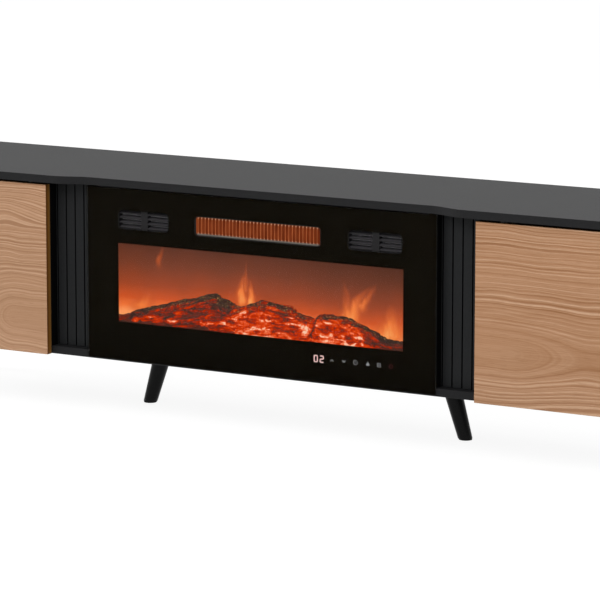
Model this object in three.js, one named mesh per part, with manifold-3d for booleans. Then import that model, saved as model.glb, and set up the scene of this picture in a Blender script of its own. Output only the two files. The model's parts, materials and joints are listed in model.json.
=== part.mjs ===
// Fireplace tv stand: a low cabinet with two doors, fluted columns and an electric fireplace.
// Millimetres, +Z up, front towards -Y, origin on the floor under the middle of the top.
import * as THREE from 'three';
import { mergeVertices } from 'three/addons/utils/BufferGeometryUtils.js';
import Module from 'manifold-3d';

const wasm = await Module();
wasm.setup();

// Driving dimensions of the cabinet
const LENGTH = 2032;
const DEPTH = 450;
const LEG_HEIGHT = 140;
const BODY_HEIGHT = 425;
const BOARD = 18;
const BACK_BOARD = 5;
const DOOR_BOARD = 18;
const DOOR_GAP = 2;
const DOOR_TOP_GAP = 6;
const DOOR_END_REVEAL = 2;
const TOP_LIP = 8;
const END_LIP = 8;
const GLASS_WIDTH = 914.4;
const GLASS_COLUMN_LAP = 2.2;
const COLUMN_WIDTH = 105;
const EDGE_CHAMFER = 0.6;

// Clearances, and the steps of every rounded corner
const SEAT_GAP = 0.3;
const RUNNING_GAP = 0.35;
const CUT_OVERRUN = 3;
const ARC_STEPS = 5;

// Levels and planes that the boards share
const UNDERSIDE_Z = LEG_HEIGHT;
const DECK_Z = UNDERSIDE_Z + BOARD;
const TOP_Z = UNDERSIDE_Z + BODY_HEIGHT;
const CEILING_Z = TOP_Z - BOARD;
const FRONT_Y = -DEPTH / 2;
const BACK_Y = DEPTH / 2;
const DOOR_FRONT_Y = FRONT_Y + TOP_LIP;
const DOOR_BACK_Y = DOOR_FRONT_Y + DOOR_BOARD;
const CARCASS_FRONT_Y = DOOR_BACK_Y + DOOR_GAP;
const CARCASS_BACK_Y = BACK_Y - BACK_BOARD;
const END_X = LENGTH / 2 - END_LIP;
const END_INNER_X = END_X - BOARD;
const GLASS_X = GLASS_WIDTH / 2;
const COLUMN_INNER_X = GLASS_X - GLASS_COLUMN_LAP;
const BAY_X = COLUMN_INNER_X - BOARD;
const COLUMN_OUTER_X = COLUMN_INNER_X + COLUMN_WIDTH;
const STORE_INNER_X = COLUMN_OUTER_X + BOARD;
const DOOR_INNER_X = COLUMN_OUTER_X;
const DOOR_OUTER_X = END_X - DOOR_END_REVEAL;
const DOOR_TOP_Z = CEILING_Z - DOOR_TOP_GAP;
const SIDES = [['left', -1], ['right', 1]];

// Materials
function finish(name, color, roughness, metalness, extra = {}) {
  return new THREE.MeshStandardMaterial({ name, color, roughness, metalness, ...extra });
}
const BLACK_LAMINATE = finish('black_laminate', 0x2a2a2c, 0.6, 0);
const BLACK_FLUTED = finish('black_fluted', 0x28282a, 0.55, 0);
const OAK = finish('oak_veneer', 0xc08a63, 0.55, 0);
const BACK_FIBREBOARD = finish('back_fibreboard', 0x232325, 0.8, 0);
const BLACK_LEG = finish('black_leg', 0x161617, 0.5, 0);
const RUBBER = finish('rubber', 0x141414, 0.9, 0);
const ZINC = finish('zinc', 0xb5b7ba, 0.35, 1);
const GREY_PLASTIC = finish('grey_plastic', 0x8c8c8a, 0.5, 0);
const TINTED_GLASS = finish('tinted_glass', 0x1c1a18, 0.05, 0, { transparent: true, opacity: 0.25 });
const BLACK_ENAMEL = finish('black_enamel', 0x0c0a08, 0.25, 0.2);
const BLACK_SHEET = finish('black_sheet', 0x1b1b1c, 0.5, 0.6);
const LOUVRE_PLASTIC = finish('louvre_plastic', 0x3a3a3c, 0.5, 0);
const FLAME_SCREEN = finish('flame_screen', 0x8a4a30, 0.6, 0);
const CHARRED_LOG = finish('charred_log', 0x3a2a24, 0.85, 0);
const EMBER_RESIN = finish('ember_resin', 0xc83a20, 0.5, 0);
const COPPER = finish('copper', 0xd07a40, 0.35, 0.9);
const HOT_ELEMENT = finish('hot_element', 0xff7a30, 0.5, 0);
const MIRROR_STRIP = finish('mirror_strip', 0xd8dadc, 0.15, 1);
const CIRCUIT_BOARD = finish('circuit_board', 0x1f4a30, 0.6, 0);
const MOTOR_STEEL = finish('motor_steel', 0x9a9c9e, 0.4, 0.9);

const model = new THREE.Group();

function add(name, geometry, material) {
  const mesh = new THREE.Mesh(geometry, material);
  mesh.name = name;
  model.add(mesh);
  return mesh;
}

// Solid operations
function toSolid(geometry) {
  const bare = geometry.clone();
  bare.deleteAttribute('normal');
  bare.deleteAttribute('uv');
  const merged = mergeVertices(bare);
  const mesh = new wasm.Mesh({
    numProp: 3,
    vertProperties: new Float32Array(merged.attributes.position.array),
    triVerts: new Uint32Array(merged.index.array),
  });
  return new wasm.Manifold(mesh);
}

function fromSolid(solid) {
  const mesh = solid.getMesh();
  const shared = new THREE.BufferGeometry();
  shared.setAttribute('position', new THREE.BufferAttribute(new Float32Array(mesh.vertProperties), 3));
  shared.setIndex(new THREE.BufferAttribute(new Uint32Array(mesh.triVerts), 1));
  const geometry = shared.toNonIndexed();
  geometry.computeVertexNormals();
  return geometry;
}

function join(...geometries) {
  return fromSolid(geometries.map(toSolid).reduce((whole, part) => whole.add(part)));
}

function cut(geometry, ...tools) {
  return fromSolid(tools.map(toSolid).reduce((rest, tool) => rest.subtract(tool), toSolid(geometry)));
}

function common(geometry, mould) {
  return fromSolid(toSolid(geometry).intersect(toSolid(mould)));
}

// Basic shapes, given by their lowest and highest value along each axis
function box([x0, x1], [y0, y1], [z0, z1]) {
  const shape = new THREE.BoxGeometry(x1 - x0, y1 - y0, z1 - z0);
  return shape.translate((x0 + x1) / 2, (y0 + y1) / 2, (z0 + z1) / 2);
}

function outline(points) {
  return new THREE.Shape(points.map(([a, b]) => new THREE.Vector2(a, b)));
}

// A plate whose outline lies in the XY plane, from z0 up to z1
function plateXY(shape, [z0, z1], chamfer = 0) {
  return extruded(shape, z1 - z0, chamfer).translate(0, 0, z0);
}

// A plate whose outline (x, z) stands upright, from y0 back to y1
function plateXZ(shape, [y0, y1], chamfer = 0) {
  return extruded(shape, y1 - y0, chamfer).rotateX(Math.PI / 2).translate(0, y1, 0);
}

// A plate whose outline (y, z) stands upright, from x0 to x1
function plateYZ(shape, [x0, x1], chamfer = 0) {
  return extruded(shape, x1 - x0, chamfer).rotateX(Math.PI / 2).rotateZ(Math.PI / 2).translate(x0, 0, 0);
}

function extruded(shape, length, chamfer) {
  const geometry = new THREE.ExtrudeGeometry(shape, {
    depth: length - 2 * chamfer,
    bevelEnabled: chamfer > 0,
    bevelThickness: chamfer,
    bevelSize: chamfer,
    bevelOffset: -chamfer,
    bevelSegments: 1,
    curveSegments: ARC_STEPS,
  });
  return geometry.translate(0, 0, chamfer);
}

function rectangle([a0, a1], [b0, b1]) {
  return outline([[a0, b0], [a1, b0], [a1, b1], [a0, b1]]);
}

function roundedRectangle([a0, a1], [b0, b1], radius) {
  const shape = new THREE.Shape();
  shape.moveTo(a0 + radius, b0);
  shape.lineTo(a1 - radius, b0);
  shape.absarc(a1 - radius, b0 + radius, radius, -Math.PI / 2, 0);
  shape.lineTo(a1, b1 - radius);
  shape.absarc(a1 - radius, b1 - radius, radius, 0, Math.PI / 2);
  shape.lineTo(a0 + radius, b1);
  shape.absarc(a0 + radius, b1 - radius, radius, Math.PI / 2, Math.PI);
  shape.lineTo(a0, b0 + radius);
  shape.absarc(a0 + radius, b0 + radius, radius, Math.PI, 1.5 * Math.PI);
  return shape;
}

// Round bars along each axis, from one end to the other
function barX(radius, [x0, x1], y, z, sides) {
  const bar = new THREE.CylinderGeometry(radius, radius, x1 - x0, sides);
  return bar.rotateZ(Math.PI / 2).translate((x0 + x1) / 2, y, z);
}

function barY(radius, x, [y0, y1], z, sides) {
  return new THREE.CylinderGeometry(radius, radius, y1 - y0, sides).translate(x, (y0 + y1) / 2, z);
}

function barZ(radius, x, y, [z0, z1], sides) {
  const bar = new THREE.CylinderGeometry(radius, radius, z1 - z0, sides);
  return bar.rotateX(Math.PI / 2).translate(x, y, (z0 + z1) / 2);
}

// A stretch widened at both ends, or drawn in where the amount is negative
function grown([a0, a1], by) {
  return [a0 - by, a1 + by];
}

// The stretch between two distances from the middle, on one side of it
function onSide(side, near, far) {
  return side < 0 ? [-far, -near] : [near, far];
}

// Chamfered boards, by the direction of their thickness
function boardX(x, y, z) {
  return plateYZ(rectangle(y, z), x, EDGE_CHAMFER);
}

function boardY(x, y, z) {
  return plateXZ(rectangle(x, z), y, EDGE_CHAMFER);
}

function boardZ(x, y, z) {
  return plateXY(rectangle(x, y), z, EDGE_CHAMFER);
}

// Legs: turned and tapered, each raked outwards
const LEG_TOP_RADIUS = 22;
const LEG_FOOT_RADIUS = 16;
const LEG_RAKE_DEG = 17.2;
const LEG_SIDES = 24;
const CENTRE_LEG_X = 379;
const CORNER_LEG_END_INSET = 45;
const CORNER_LEG_FRONT_INSET = 70;
const CORNER_LEG_BACK_INSET = 85;
const LEG_RAKE = THREE.MathUtils.degToRad(LEG_RAKE_DEG);
const CARCASS_MID_Y = (CARCASS_FRONT_Y + BACK_Y) / 2;

// Each leg: its name, where it meets the bottom panel, and the direction in which its foot leans
function legPlaces() {
  return SIDES.flatMap(([side, sign]) => {
    const cornerX = sign * (END_X - CORNER_LEG_END_INSET);
    return [
      [`front_${side}_leg`, cornerX, CARCASS_FRONT_Y + CORNER_LEG_FRONT_INSET, Math.atan2(-1, sign)],
      [`centre_${side}_leg`, sign * CENTRE_LEG_X, CARCASS_MID_Y, Math.atan2(0, sign)],
      [`rear_${side}_leg`, cornerX, BACK_Y - CORNER_LEG_BACK_INSET, Math.atan2(1, sign)],
    ];
  });
}

// A cone raked about its top's middle, sliced level at the floor and under the panel
function legShape() {
  const overrun = LEG_TOP_RADIUS;
  const axisLength = LEG_HEIGHT / Math.cos(LEG_RAKE);
  const taper = (LEG_TOP_RADIUS - LEG_FOOT_RADIUS) / axisLength;
  const cone = new THREE.CylinderGeometry(
    LEG_TOP_RADIUS + taper * overrun, LEG_FOOT_RADIUS - taper * overrun,
    axisLength + 2 * overrun, LEG_SIDES,
  );
  cone.translate(0, -axisLength / 2, 0).rotateX(Math.PI / 2).rotateY(-LEG_RAKE);
  const reach = LEG_HEIGHT;
  return common(cone, box([-reach, reach], [-reach, reach], [-LEG_HEIGHT, -SEAT_GAP]));
}

function addLegs() {
  for (const [name, x, y, lean] of legPlaces()) {
    const leg = add(name, legShape(), BLACK_LEG);
    leg.position.set(x, y, UNDERSIDE_Z);
    leg.rotation.z = lean;
  }
}

// Top: its front edge steps back over the fireplace in two smooth waves
const WAVE_GLASS_LAP = 13.2;
const WAVE_LENGTH = 90;
const WAVE_SETBACK = 23;
const WAVE_STEPS = 10;
const TOP_CORNER_RADIUS = 6;
const WAVE_START_X = GLASS_X - WAVE_GLASS_LAP;

function waveEdge() {
  const wave = [];
  for (let step = 0; step <= WAVE_STEPS; step += 1) {
    const share = step / WAVE_STEPS;
    const forward = WAVE_SETBACK * (1 - Math.cos(Math.PI * share)) / 2;
    wave.push([WAVE_START_X + WAVE_LENGTH * share, FRONT_Y + WAVE_SETBACK - forward]);
  }
  return wave;
}

function addTopPanel() {
  const halfLength = LENGTH / 2;
  const right = waveEdge();
  const left = right.map(([x, y]) => [-x, y]).reverse();
  const shape = new THREE.Shape();
  shape.moveTo(-halfLength, FRONT_Y + TOP_CORNER_RADIUS);
  shape.absarc(
    -halfLength + TOP_CORNER_RADIUS, FRONT_Y + TOP_CORNER_RADIUS, TOP_CORNER_RADIUS, Math.PI, 1.5 * Math.PI,
  );
  for (const [x, y] of [...left, ...right]) {
    shape.lineTo(x, y);
  }
  shape.absarc(
    halfLength - TOP_CORNER_RADIUS, FRONT_Y + TOP_CORNER_RADIUS, TOP_CORNER_RADIUS, -Math.PI / 2, 0,
  );
  shape.lineTo(halfLength, BACK_Y);
  shape.lineTo(-halfLength, BACK_Y);
  add('top_panel', plateXY(shape, [CEILING_Z, TOP_Z], EDGE_CHAMFER), BLACK_LAMINATE);
}

function addBottomPanel() {
  const panel = boardZ([-END_X, END_X], [CARCASS_FRONT_Y, CARCASS_BACK_Y], [UNDERSIDE_Z, DECK_Z]);
  add('bottom_panel', panel, BLACK_LAMINATE);
}

// Shelves, level with the middle one of three rows of pin holes
const SHELF_BOARD = 15;
const SHELF_FRONT_SETBACK = 24;
const PIN_RADIUS = 2.5;
const PIN_DEPTH = 8;
const PIN_ROW_PITCH = 64;
const PIN_ROWS = [-1, 0, 1];
const PIN_EDGE = 50;
const PIN_SIDES = 8;
const SHELF_MID_Z = (DECK_Z + CEILING_Z) / 2;
const SHELF_Z = [SHELF_MID_Z - SHELF_BOARD / 2, SHELF_MID_Z + SHELF_BOARD / 2];
const PIN_Z = SHELF_Z[0] - PIN_RADIUS;
const SHELF_Y = [CARCASS_FRONT_Y + SHELF_FRONT_SETBACK, CARCASS_BACK_Y - SEAT_GAP];
const PIN_YS = [SHELF_Y[0] + PIN_EDGE, SHELF_Y[1] - PIN_EDGE];

function addShelves() {
  for (const [side, sign] of SIDES) {
    const x = onSide(sign, STORE_INNER_X + SEAT_GAP, END_INNER_X - SEAT_GAP);
    add(`${side}_shelf`, boardZ(x, SHELF_Y, SHELF_Z), BLACK_LAMINATE);
  }
}

// Pin holes are sunk into a store's side boards, from their faces away from its middle
function pinHoles(sign, near, far) {
  return PIN_ROWS.flatMap((row) => PIN_YS.map((y) => barX(
    PIN_RADIUS, onSide(sign, near, far), y, PIN_Z + row * PIN_ROW_PITCH, PIN_SIDES,
  )));
}

// Upright boards between the bottom panel and the top
function addUprights() {
  const y = [CARCASS_FRONT_Y, CARCASS_BACK_Y];
  const z = [DECK_Z, CEILING_Z];
  for (const [side, sign] of SIDES) {
    const upright = (near) => boardX(onSide(sign, near, near + BOARD), y, z);
    const innerHoles = pinHoles(sign, STORE_INNER_X - PIN_DEPTH, STORE_INNER_X + CUT_OVERRUN);
    const endHoles = pinHoles(sign, END_INNER_X - CUT_OVERRUN, END_INNER_X + PIN_DEPTH);
    add(`${side}_bay_partition`, upright(BAY_X), BLACK_LAMINATE);
    add(`${side}_door_partition`, cut(upright(COLUMN_OUTER_X), ...innerHoles), BLACK_LAMINATE);
    add(`${side}_end_panel`, cut(upright(END_INNER_X), ...endHoles), BLACK_LAMINATE);
  }
}

// Fluted column fronts: one grooved board set back between two partitions
const FLUTED_BOARD = 12;
const FLUTED_SETBACK = 24;
const FLUTE_COUNT = 5;
const FLUTE_EDGE = 3;
const FLUTE_WIDTH = 3.4;
const FLUTE_DEPTH = 5;
const FLUTE_FLOOR_WIDTH = 1.6;
const FLUTED_FOOT_GAP = 0.9;

function addFlutedPanels() {
  const frontY = CARCASS_FRONT_Y + FLUTED_SETBACK;
  const backY = frontY + FLUTED_BOARD;
  const z = [DECK_Z + FLUTED_FOOT_GAP, CEILING_Z - SEAT_GAP];
  for (const [side, sign] of SIDES) {
    const [x0, x1] = onSide(sign, COLUMN_INNER_X + SEAT_GAP, COLUMN_OUTER_X - SEAT_GAP);
    const pitch = (x1 - x0 - 2 * FLUTE_EDGE) / (FLUTE_COUNT - 1);
    const grooves = [];
    for (let index = 0; index < FLUTE_COUNT; index += 1) {
      const x = x0 + FLUTE_EDGE + index * pitch;
      grooves.push(
        [x - FLUTE_WIDTH / 2, frontY], [x - FLUTE_FLOOR_WIDTH / 2, frontY + FLUTE_DEPTH],
        [x + FLUTE_FLOOR_WIDTH / 2, frontY + FLUTE_DEPTH], [x + FLUTE_WIDTH / 2, frontY],
      );
    }
    const shape = outline([[x0, frontY], ...grooves, [x1, frontY], [x1, backY], [x0, backY]]);
    add(`${side}_fluted_panel`, plateXY(shape, z), BLACK_FLUTED);
  }
}

// Back panels, with cable holes behind the stores and a wide vent behind the fireplace
const CABLE_HOLE_RADIUS = 30;
const CABLE_HOLE_SIDES = 20;
const CABLE_HOLE_FLOOR_INSET = 70;
const BACK_VENT_SIDE_MARGIN = 157;
const BACK_VENT_EDGE_MARGIN = 113.5;
const BACK_VENT_CORNER_RADIUS = 20;
const BACK_SEAM_GAP = 0.6;
const BACK_SEAM_X = COLUMN_OUTER_X + BOARD / 2;
const STORE_MID_X = (STORE_INNER_X + END_INNER_X) / 2;
const CABLE_HOLE_Z = DECK_Z + CABLE_HOLE_FLOOR_INSET;

function addBackPanels() {
  const y = [CARCASS_BACK_Y, BACK_Y];
  const z = [UNDERSIDE_Z, CEILING_Z];
  const through = [y[0] - CUT_OVERRUN, y[1] + CUT_OVERRUN];
  for (const [side, sign] of SIDES) {
    const panel = plateXZ(rectangle(onSide(sign, BACK_SEAM_X + BACK_SEAM_GAP, END_X), z), y);
    const hole = barY(CABLE_HOLE_RADIUS, sign * STORE_MID_X, through, CABLE_HOLE_Z, CABLE_HOLE_SIDES);
    add(`${side}_back_panel`, cut(panel, hole), BACK_FIBREBOARD);
  }
  const vent = plateXZ(roundedRectangle(
    grown([-BAY_X, BAY_X], -BACK_VENT_SIDE_MARGIN), grown(z, -BACK_VENT_EDGE_MARGIN),
    BACK_VENT_CORNER_RADIUS,
  ), through);
  const panel = plateXZ(rectangle([-BACK_SEAM_X, BACK_SEAM_X], z), y);
  add('centre_back_panel', cut(panel, vent), BACK_FIBREBOARD);
}

// Doors, each hung on two leaf hinges whose knuckles stand just outside the cabinet's end
const HINGE_LEAF_GAP = 0.4;
const HINGE_LEAF_WIDTH = 15;
const HINGE_HEIGHT = 54;
const HINGE_EDGE_INSET = 60;
const KNUCKLE_RADIUS = 2.7;
const HINGE_PIN_RADIUS = 1.2;
const KNUCKLE_SIDES = 16;
const HINGE_KNUCKLE_COUNT = 3;
const DOOR_KNUCKLE = 1;
const HINGE_LEAF = (DOOR_GAP - HINGE_LEAF_GAP) / 2;
const HINGE_AXIS_X = END_X + SEAT_GAP + KNUCKLE_RADIUS;
const HINGE_AXIS_Y = (DOOR_BACK_Y + CARCASS_FRONT_Y) / 2;
const KNUCKLE_PITCH = HINGE_HEIGHT / HINGE_KNUCKLE_COUNT;
const HINGE_PLACES = [
  ['lower', UNDERSIDE_Z + HINGE_EDGE_INSET],
  ['upper', DOOR_TOP_Z - HINGE_EDGE_INSET - HINGE_HEIGHT],
];

function addDoors() {
  for (const [side, sign] of SIDES) {
    const x = onSide(sign, DOOR_INNER_X, DOOR_OUTER_X);
    add(`${side}_door`, boardY(x, [DOOR_FRONT_Y, DOOR_BACK_Y], [UNDERSIDE_Z, DOOR_TOP_Z]), OAK);
  }
}

// A leaf with the knuckles that are its own; the other leaf's knuckles turn in its clearings
function hingeLeaf(sign, bottomZ, leafY, ownsKnuckle) {
  const axisX = sign * HINGE_AXIS_X;
  const innerX = HINGE_AXIS_X - KNUCKLE_RADIUS - HINGE_LEAF_WIDTH;
  let leaf = box(onSide(sign, innerX, HINGE_AXIS_X), leafY, [bottomZ, bottomZ + HINGE_HEIGHT]);
  for (let index = 0; index < HINGE_KNUCKLE_COUNT; index += 1) {
    const z0 = bottomZ + index * KNUCKLE_PITCH;
    const z1 = z0 + KNUCKLE_PITCH;
    leaf = ownsKnuckle(index)
      ? join(leaf, barZ(KNUCKLE_RADIUS, axisX, HINGE_AXIS_Y, [z0, z1], KNUCKLE_SIDES))
      : cut(leaf, barZ(
        KNUCKLE_RADIUS + RUNNING_GAP, axisX, HINGE_AXIS_Y, grown([z0, z1], RUNNING_GAP), KNUCKLE_SIDES,
      ));
  }
  return leaf;
}

function addHinges() {
  const frameLeafY = [CARCASS_FRONT_Y - HINGE_LEAF, CARCASS_FRONT_Y];
  const doorLeafY = [DOOR_BACK_Y, DOOR_BACK_Y + HINGE_LEAF];
  for (const [side, sign] of SIDES) {
    for (const [level, z] of HINGE_PLACES) {
      const axisX = sign * HINGE_AXIS_X;
      const doorLeaf = hingeLeaf(sign, z, doorLeafY, (index) => index === DOOR_KNUCKLE);
      const frameLeaf = hingeLeaf(sign, z, frameLeafY, (index) => index !== DOOR_KNUCKLE);
      const stretch = [z, z + HINGE_HEIGHT];
      const pin = barZ(HINGE_PIN_RADIUS, axisX, HINGE_AXIS_Y, stretch, KNUCKLE_SIDES);
      const bore = barZ(HINGE_PIN_RADIUS + RUNNING_GAP, axisX, HINGE_AXIS_Y, stretch, KNUCKLE_SIDES);
      add(`${side}_${level}_hinge_door_leaf`, cut(doorLeaf, bore), ZINC);
      add(`${side}_${level}_hinge_frame_leaf`, join(frameLeaf, pin), ZINC);
    }
  }
}

// Push latches under the ceiling, each with a sprung plunger and a strike plate on the door
const LATCH_WIDTH = 16;
const LATCH_HEIGHT = 14;
const LATCH_LENGTH = 62;
const LATCH_SETBACK = 5;
const LATCH_SIDE_INSET = 30;
const PLUNGER_RADIUS = 4;
const PLUNGER_LENGTH = 36;
const PLUNGER_SIDES = 12;
const PLUNGER_TRAVEL = 4;
const STRIKE_THICKNESS = 1;
const STRIKE_SIZE = 20;
const LATCH_BORE_RADIUS = PLUNGER_RADIUS + RUNNING_GAP;

function addLatches() {
  const z = [CEILING_Z - LATCH_HEIGHT, CEILING_Z];
  const axisZ = (z[0] + z[1]) / 2;
  const bodyFront = CARCASS_FRONT_Y + LATCH_SETBACK;
  const strikeBack = DOOR_BACK_Y + STRIKE_THICKNESS;
  const tip = strikeBack + SEAT_GAP;
  for (const [side, sign] of SIDES) {
    const near = STORE_INNER_X + LATCH_SIDE_INSET;
    const axisX = sign * (near + LATCH_WIDTH / 2);
    const body = box(onSide(sign, near, near + LATCH_WIDTH), [bodyFront, bodyFront + LATCH_LENGTH], z);
    const boreEnd = tip + PLUNGER_LENGTH + PLUNGER_TRAVEL + SEAT_GAP;
    const bore = barY(LATCH_BORE_RADIUS, axisX, [bodyFront - CUT_OVERRUN, boreEnd], axisZ, PLUNGER_SIDES);
    const plunger = barY(PLUNGER_RADIUS, axisX, [tip, tip + PLUNGER_LENGTH], axisZ, PLUNGER_SIDES);
    add(`${side}_latch_body`, cut(body, bore), GREY_PLASTIC);
    add(`${side}_latch_plunger`, plunger, GREY_PLASTIC);
    const strikeX = [axisX - STRIKE_SIZE / 2, axisX + STRIKE_SIZE / 2];
    const strikeZ = [DOOR_TOP_Z - STRIKE_SIZE, DOOR_TOP_Z - EDGE_CHAMFER];
    add(`${side}_strike_plate`, box(strikeX, [DOOR_BACK_Y, strikeBack], strikeZ), ZINC);
  }
}

// Fireplace insert: glass front, front plate and sheet-metal shell
const GLASS_THICKNESS = 4;
const GLASS_TOP_GAP = 1;
const GLASS_FOOT_RISE = 2;
const PRINT_GAP = 0.5;
const FRONT_PLATE = 1;
const FRONT_PLATE_INSET = 2;
const INSERT_DEPTH = 140;
const SHELL_SHEET = 1.5;
const SHELL_SIDE_GAP = 3;
const SHELL_TOP_GAP = 3;
const COVER_SHEET = 1.2;
const MOUTH_WIDTH = 328;
const MOUTH_HEIGHT = 46;
const MOUTH_DROP = 51;
const VENT_WIDTH = 135;
const VENT_HEIGHT = 44;
const VENT_DROP = 52;
const VENT_SIDE_MARGIN = 87.2;
const WINDOW_SIDE_MARGIN = 84.2;
const WINDOW_RISE = 93;
const WINDOW_MOUTH_GAP = 33;
const OPENING_CORNER_RADIUS = 9;
const PLATE_BACK_Y = CARCASS_FRONT_Y;
const PLATE_FRONT_Y = PLATE_BACK_Y - FRONT_PLATE;
const GLASS_BACK_Y = PLATE_FRONT_Y - PRINT_GAP;
const GLASS_FRONT_Y = GLASS_BACK_Y - GLASS_THICKNESS;
const SHELL_X = BAY_X - SHELL_SIDE_GAP;
const SHELL_INNER_X = SHELL_X - SHELL_SHEET;
const SHELL_TOP_Z = CEILING_Z - SHELL_TOP_GAP;
const SHELL_FLOOR_Z = DECK_Z + SHELL_SHEET;
const SHELL_CEILING_Z = SHELL_TOP_Z - SHELL_SHEET;
const SHELL_FRONT_Y = PLATE_BACK_Y + SEAT_GAP;
const SHELL_BACK_Y = PLATE_BACK_Y + INSERT_DEPTH;
const COVER_BACK_Y = SHELL_BACK_Y + COVER_SHEET;
const MOUTH_TOP_Z = CEILING_Z - MOUTH_DROP;
const MOUTH_X = [-MOUTH_WIDTH / 2, MOUTH_WIDTH / 2];
const MOUTH_Z = [MOUTH_TOP_Z - MOUTH_HEIGHT, MOUTH_TOP_Z];
const VENT_TOP_Z = CEILING_Z - VENT_DROP;
const VENT_Z = [VENT_TOP_Z - VENT_HEIGHT, VENT_TOP_Z];
const VENT_OUTER_X = GLASS_X - VENT_SIDE_MARGIN;
const WINDOW_HALF_X = GLASS_X - WINDOW_SIDE_MARGIN;
const WINDOW_X = [-WINDOW_HALF_X, WINDOW_HALF_X];
const WINDOW_Z = [UNDERSIDE_Z + WINDOW_RISE, MOUTH_Z[0] - WINDOW_MOUTH_GAP];

function ventX(sign) {
  return onSide(sign, VENT_OUTER_X - VENT_WIDTH, VENT_OUTER_X);
}

function airOpenings() {
  return [[MOUTH_X, MOUTH_Z], [ventX(-1), VENT_Z], [ventX(1), VENT_Z]];
}

function addFrontGlass() {
  const x = [-GLASS_X, GLASS_X];
  const z = [UNDERSIDE_Z + GLASS_FOOT_RISE, CEILING_Z - GLASS_TOP_GAP];
  const glassY = [GLASS_FRONT_Y, GLASS_BACK_Y];
  const plateY = [PLATE_FRONT_Y, PLATE_BACK_Y];
  const through = [GLASS_FRONT_Y - CUT_OVERRUN, PLATE_BACK_Y + CUT_OVERRUN];
  const glass = plateXZ(rectangle(x, z), glassY, EDGE_CHAMFER);
  const plate = box(grown(x, -FRONT_PLATE_INSET), plateY, grown(z, -FRONT_PLATE_INSET));
  const openings = airOpenings().map(([openX, openZ]) => plateXZ(
    roundedRectangle(openX, openZ, OPENING_CORNER_RADIUS), through,
  ));
  const flameWindow = box(WINDOW_X, through, WINDOW_Z);
  add('front_glass', cut(glass, ...openings), TINTED_GLASS);
  add('front_plate', cut(plate, ...openings, flameWindow), BLACK_ENAMEL);
}

// Shell: a wrapped sheet, open in front, closed behind by a slotted cover
const SLOT_WIDTH = 6;
const SLOT_HEIGHT = 60;
const SLOT_PITCH = 14;
const SLOT_COUNT = 8;
const SLOT_BANK_SIDE_INSET = 192.5;
const SLOT_TOP_DROP = 42.5;
const GLAND_SIDE_INSET = 102.5;
const GLAND_RISE = 60;
const GLAND_NECK_RADIUS = 7;
const GLAND_FLANGE_RADIUS = 11;
const GLAND_FLANGE = 3;
const GLAND_TAIL = 14;
const GLAND_BORE_RADIUS = 3.8;
const GLAND_SIDES = 16;
const SLOT_BANK_X = SHELL_INNER_X - SLOT_BANK_SIDE_INSET;
const SLOT_Z = [SHELL_CEILING_Z - SLOT_TOP_DROP - SLOT_HEIGHT, SHELL_CEILING_Z - SLOT_TOP_DROP];
const GLAND_X = SHELL_INNER_X - GLAND_SIDE_INSET;
const GLAND_Z = UNDERSIDE_Z + GLAND_RISE;

// Flame rotor: a driven shaft of mirror strips between the flame screen and the rear cover
const SCREEN_SETBACK = 72;
const SCREEN_THICKNESS = 2;
const ROTOR_SHAFT_RADIUS = 3;
const ROTOR_SIDES = 10;
const ROTOR_RISE = 62;
const ROTOR_STRIP_COUNT = 14;
const ROTOR_STRIP_WIDTH = 26;
const ROTOR_STRIP_CLEARANCE = 16;
const ROTOR_STRIP_END_GAP = 30;
const ROTOR_STRIP_THICKNESS = 0.8;
const ROTOR_STRIP_TURN_DEG = 50;
const ROTOR_MOTOR_CLEARANCE = 11;
const ROTOR_MOTOR_LENGTH = 20;
const ROTOR_MOTOR_SIDE_GAP = 32.5;
const ROTOR_MOTOR_BORE_DEPTH = 12;
const ROTOR_FOOT_WIDTH = 30;
const SCREEN_Y = PLATE_BACK_Y + SCREEN_SETBACK;
const ROTOR_ROOM_Y = [SCREEN_Y + SCREEN_THICKNESS, SHELL_BACK_Y];
const ROTOR_Y = (ROTOR_ROOM_Y[0] + ROTOR_ROOM_Y[1]) / 2;
const ROTOR_HALF_ROOM = (ROTOR_ROOM_Y[1] - ROTOR_ROOM_Y[0]) / 2;
const ROTOR_MOTOR_RADIUS = ROTOR_HALF_ROOM - ROTOR_MOTOR_CLEARANCE;
const ROTOR_STRIP_REACH = ROTOR_HALF_ROOM - ROTOR_STRIP_CLEARANCE;
const ROTOR_Z = UNDERSIDE_Z + ROTOR_RISE;
const ROTOR_MOTOR_START_X = ROTOR_MOTOR_SIDE_GAP - SHELL_INNER_X;
const ROTOR_MOTOR_X = [ROTOR_MOTOR_START_X, ROTOR_MOTOR_START_X + ROTOR_MOTOR_LENGTH];

function addShell() {
  const y = [SHELL_FRONT_Y, SHELL_BACK_Y];
  const wrap = box([-SHELL_X, SHELL_X], y, [DECK_Z, SHELL_TOP_Z]);
  const hollow = box(
    [-SHELL_INNER_X, SHELL_INNER_X], grown(y, CUT_OVERRUN), [SHELL_FLOOR_Z, SHELL_CEILING_Z],
  );
  const bearing = barX(
    ROTOR_SHAFT_RADIUS + RUNNING_GAP, [SHELL_INNER_X - CUT_OVERRUN, SHELL_X + CUT_OVERRUN],
    ROTOR_Y, ROTOR_Z, ROTOR_SIDES,
  );
  add('insert_shell', cut(wrap, hollow, bearing), BLACK_SHEET);
}

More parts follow.
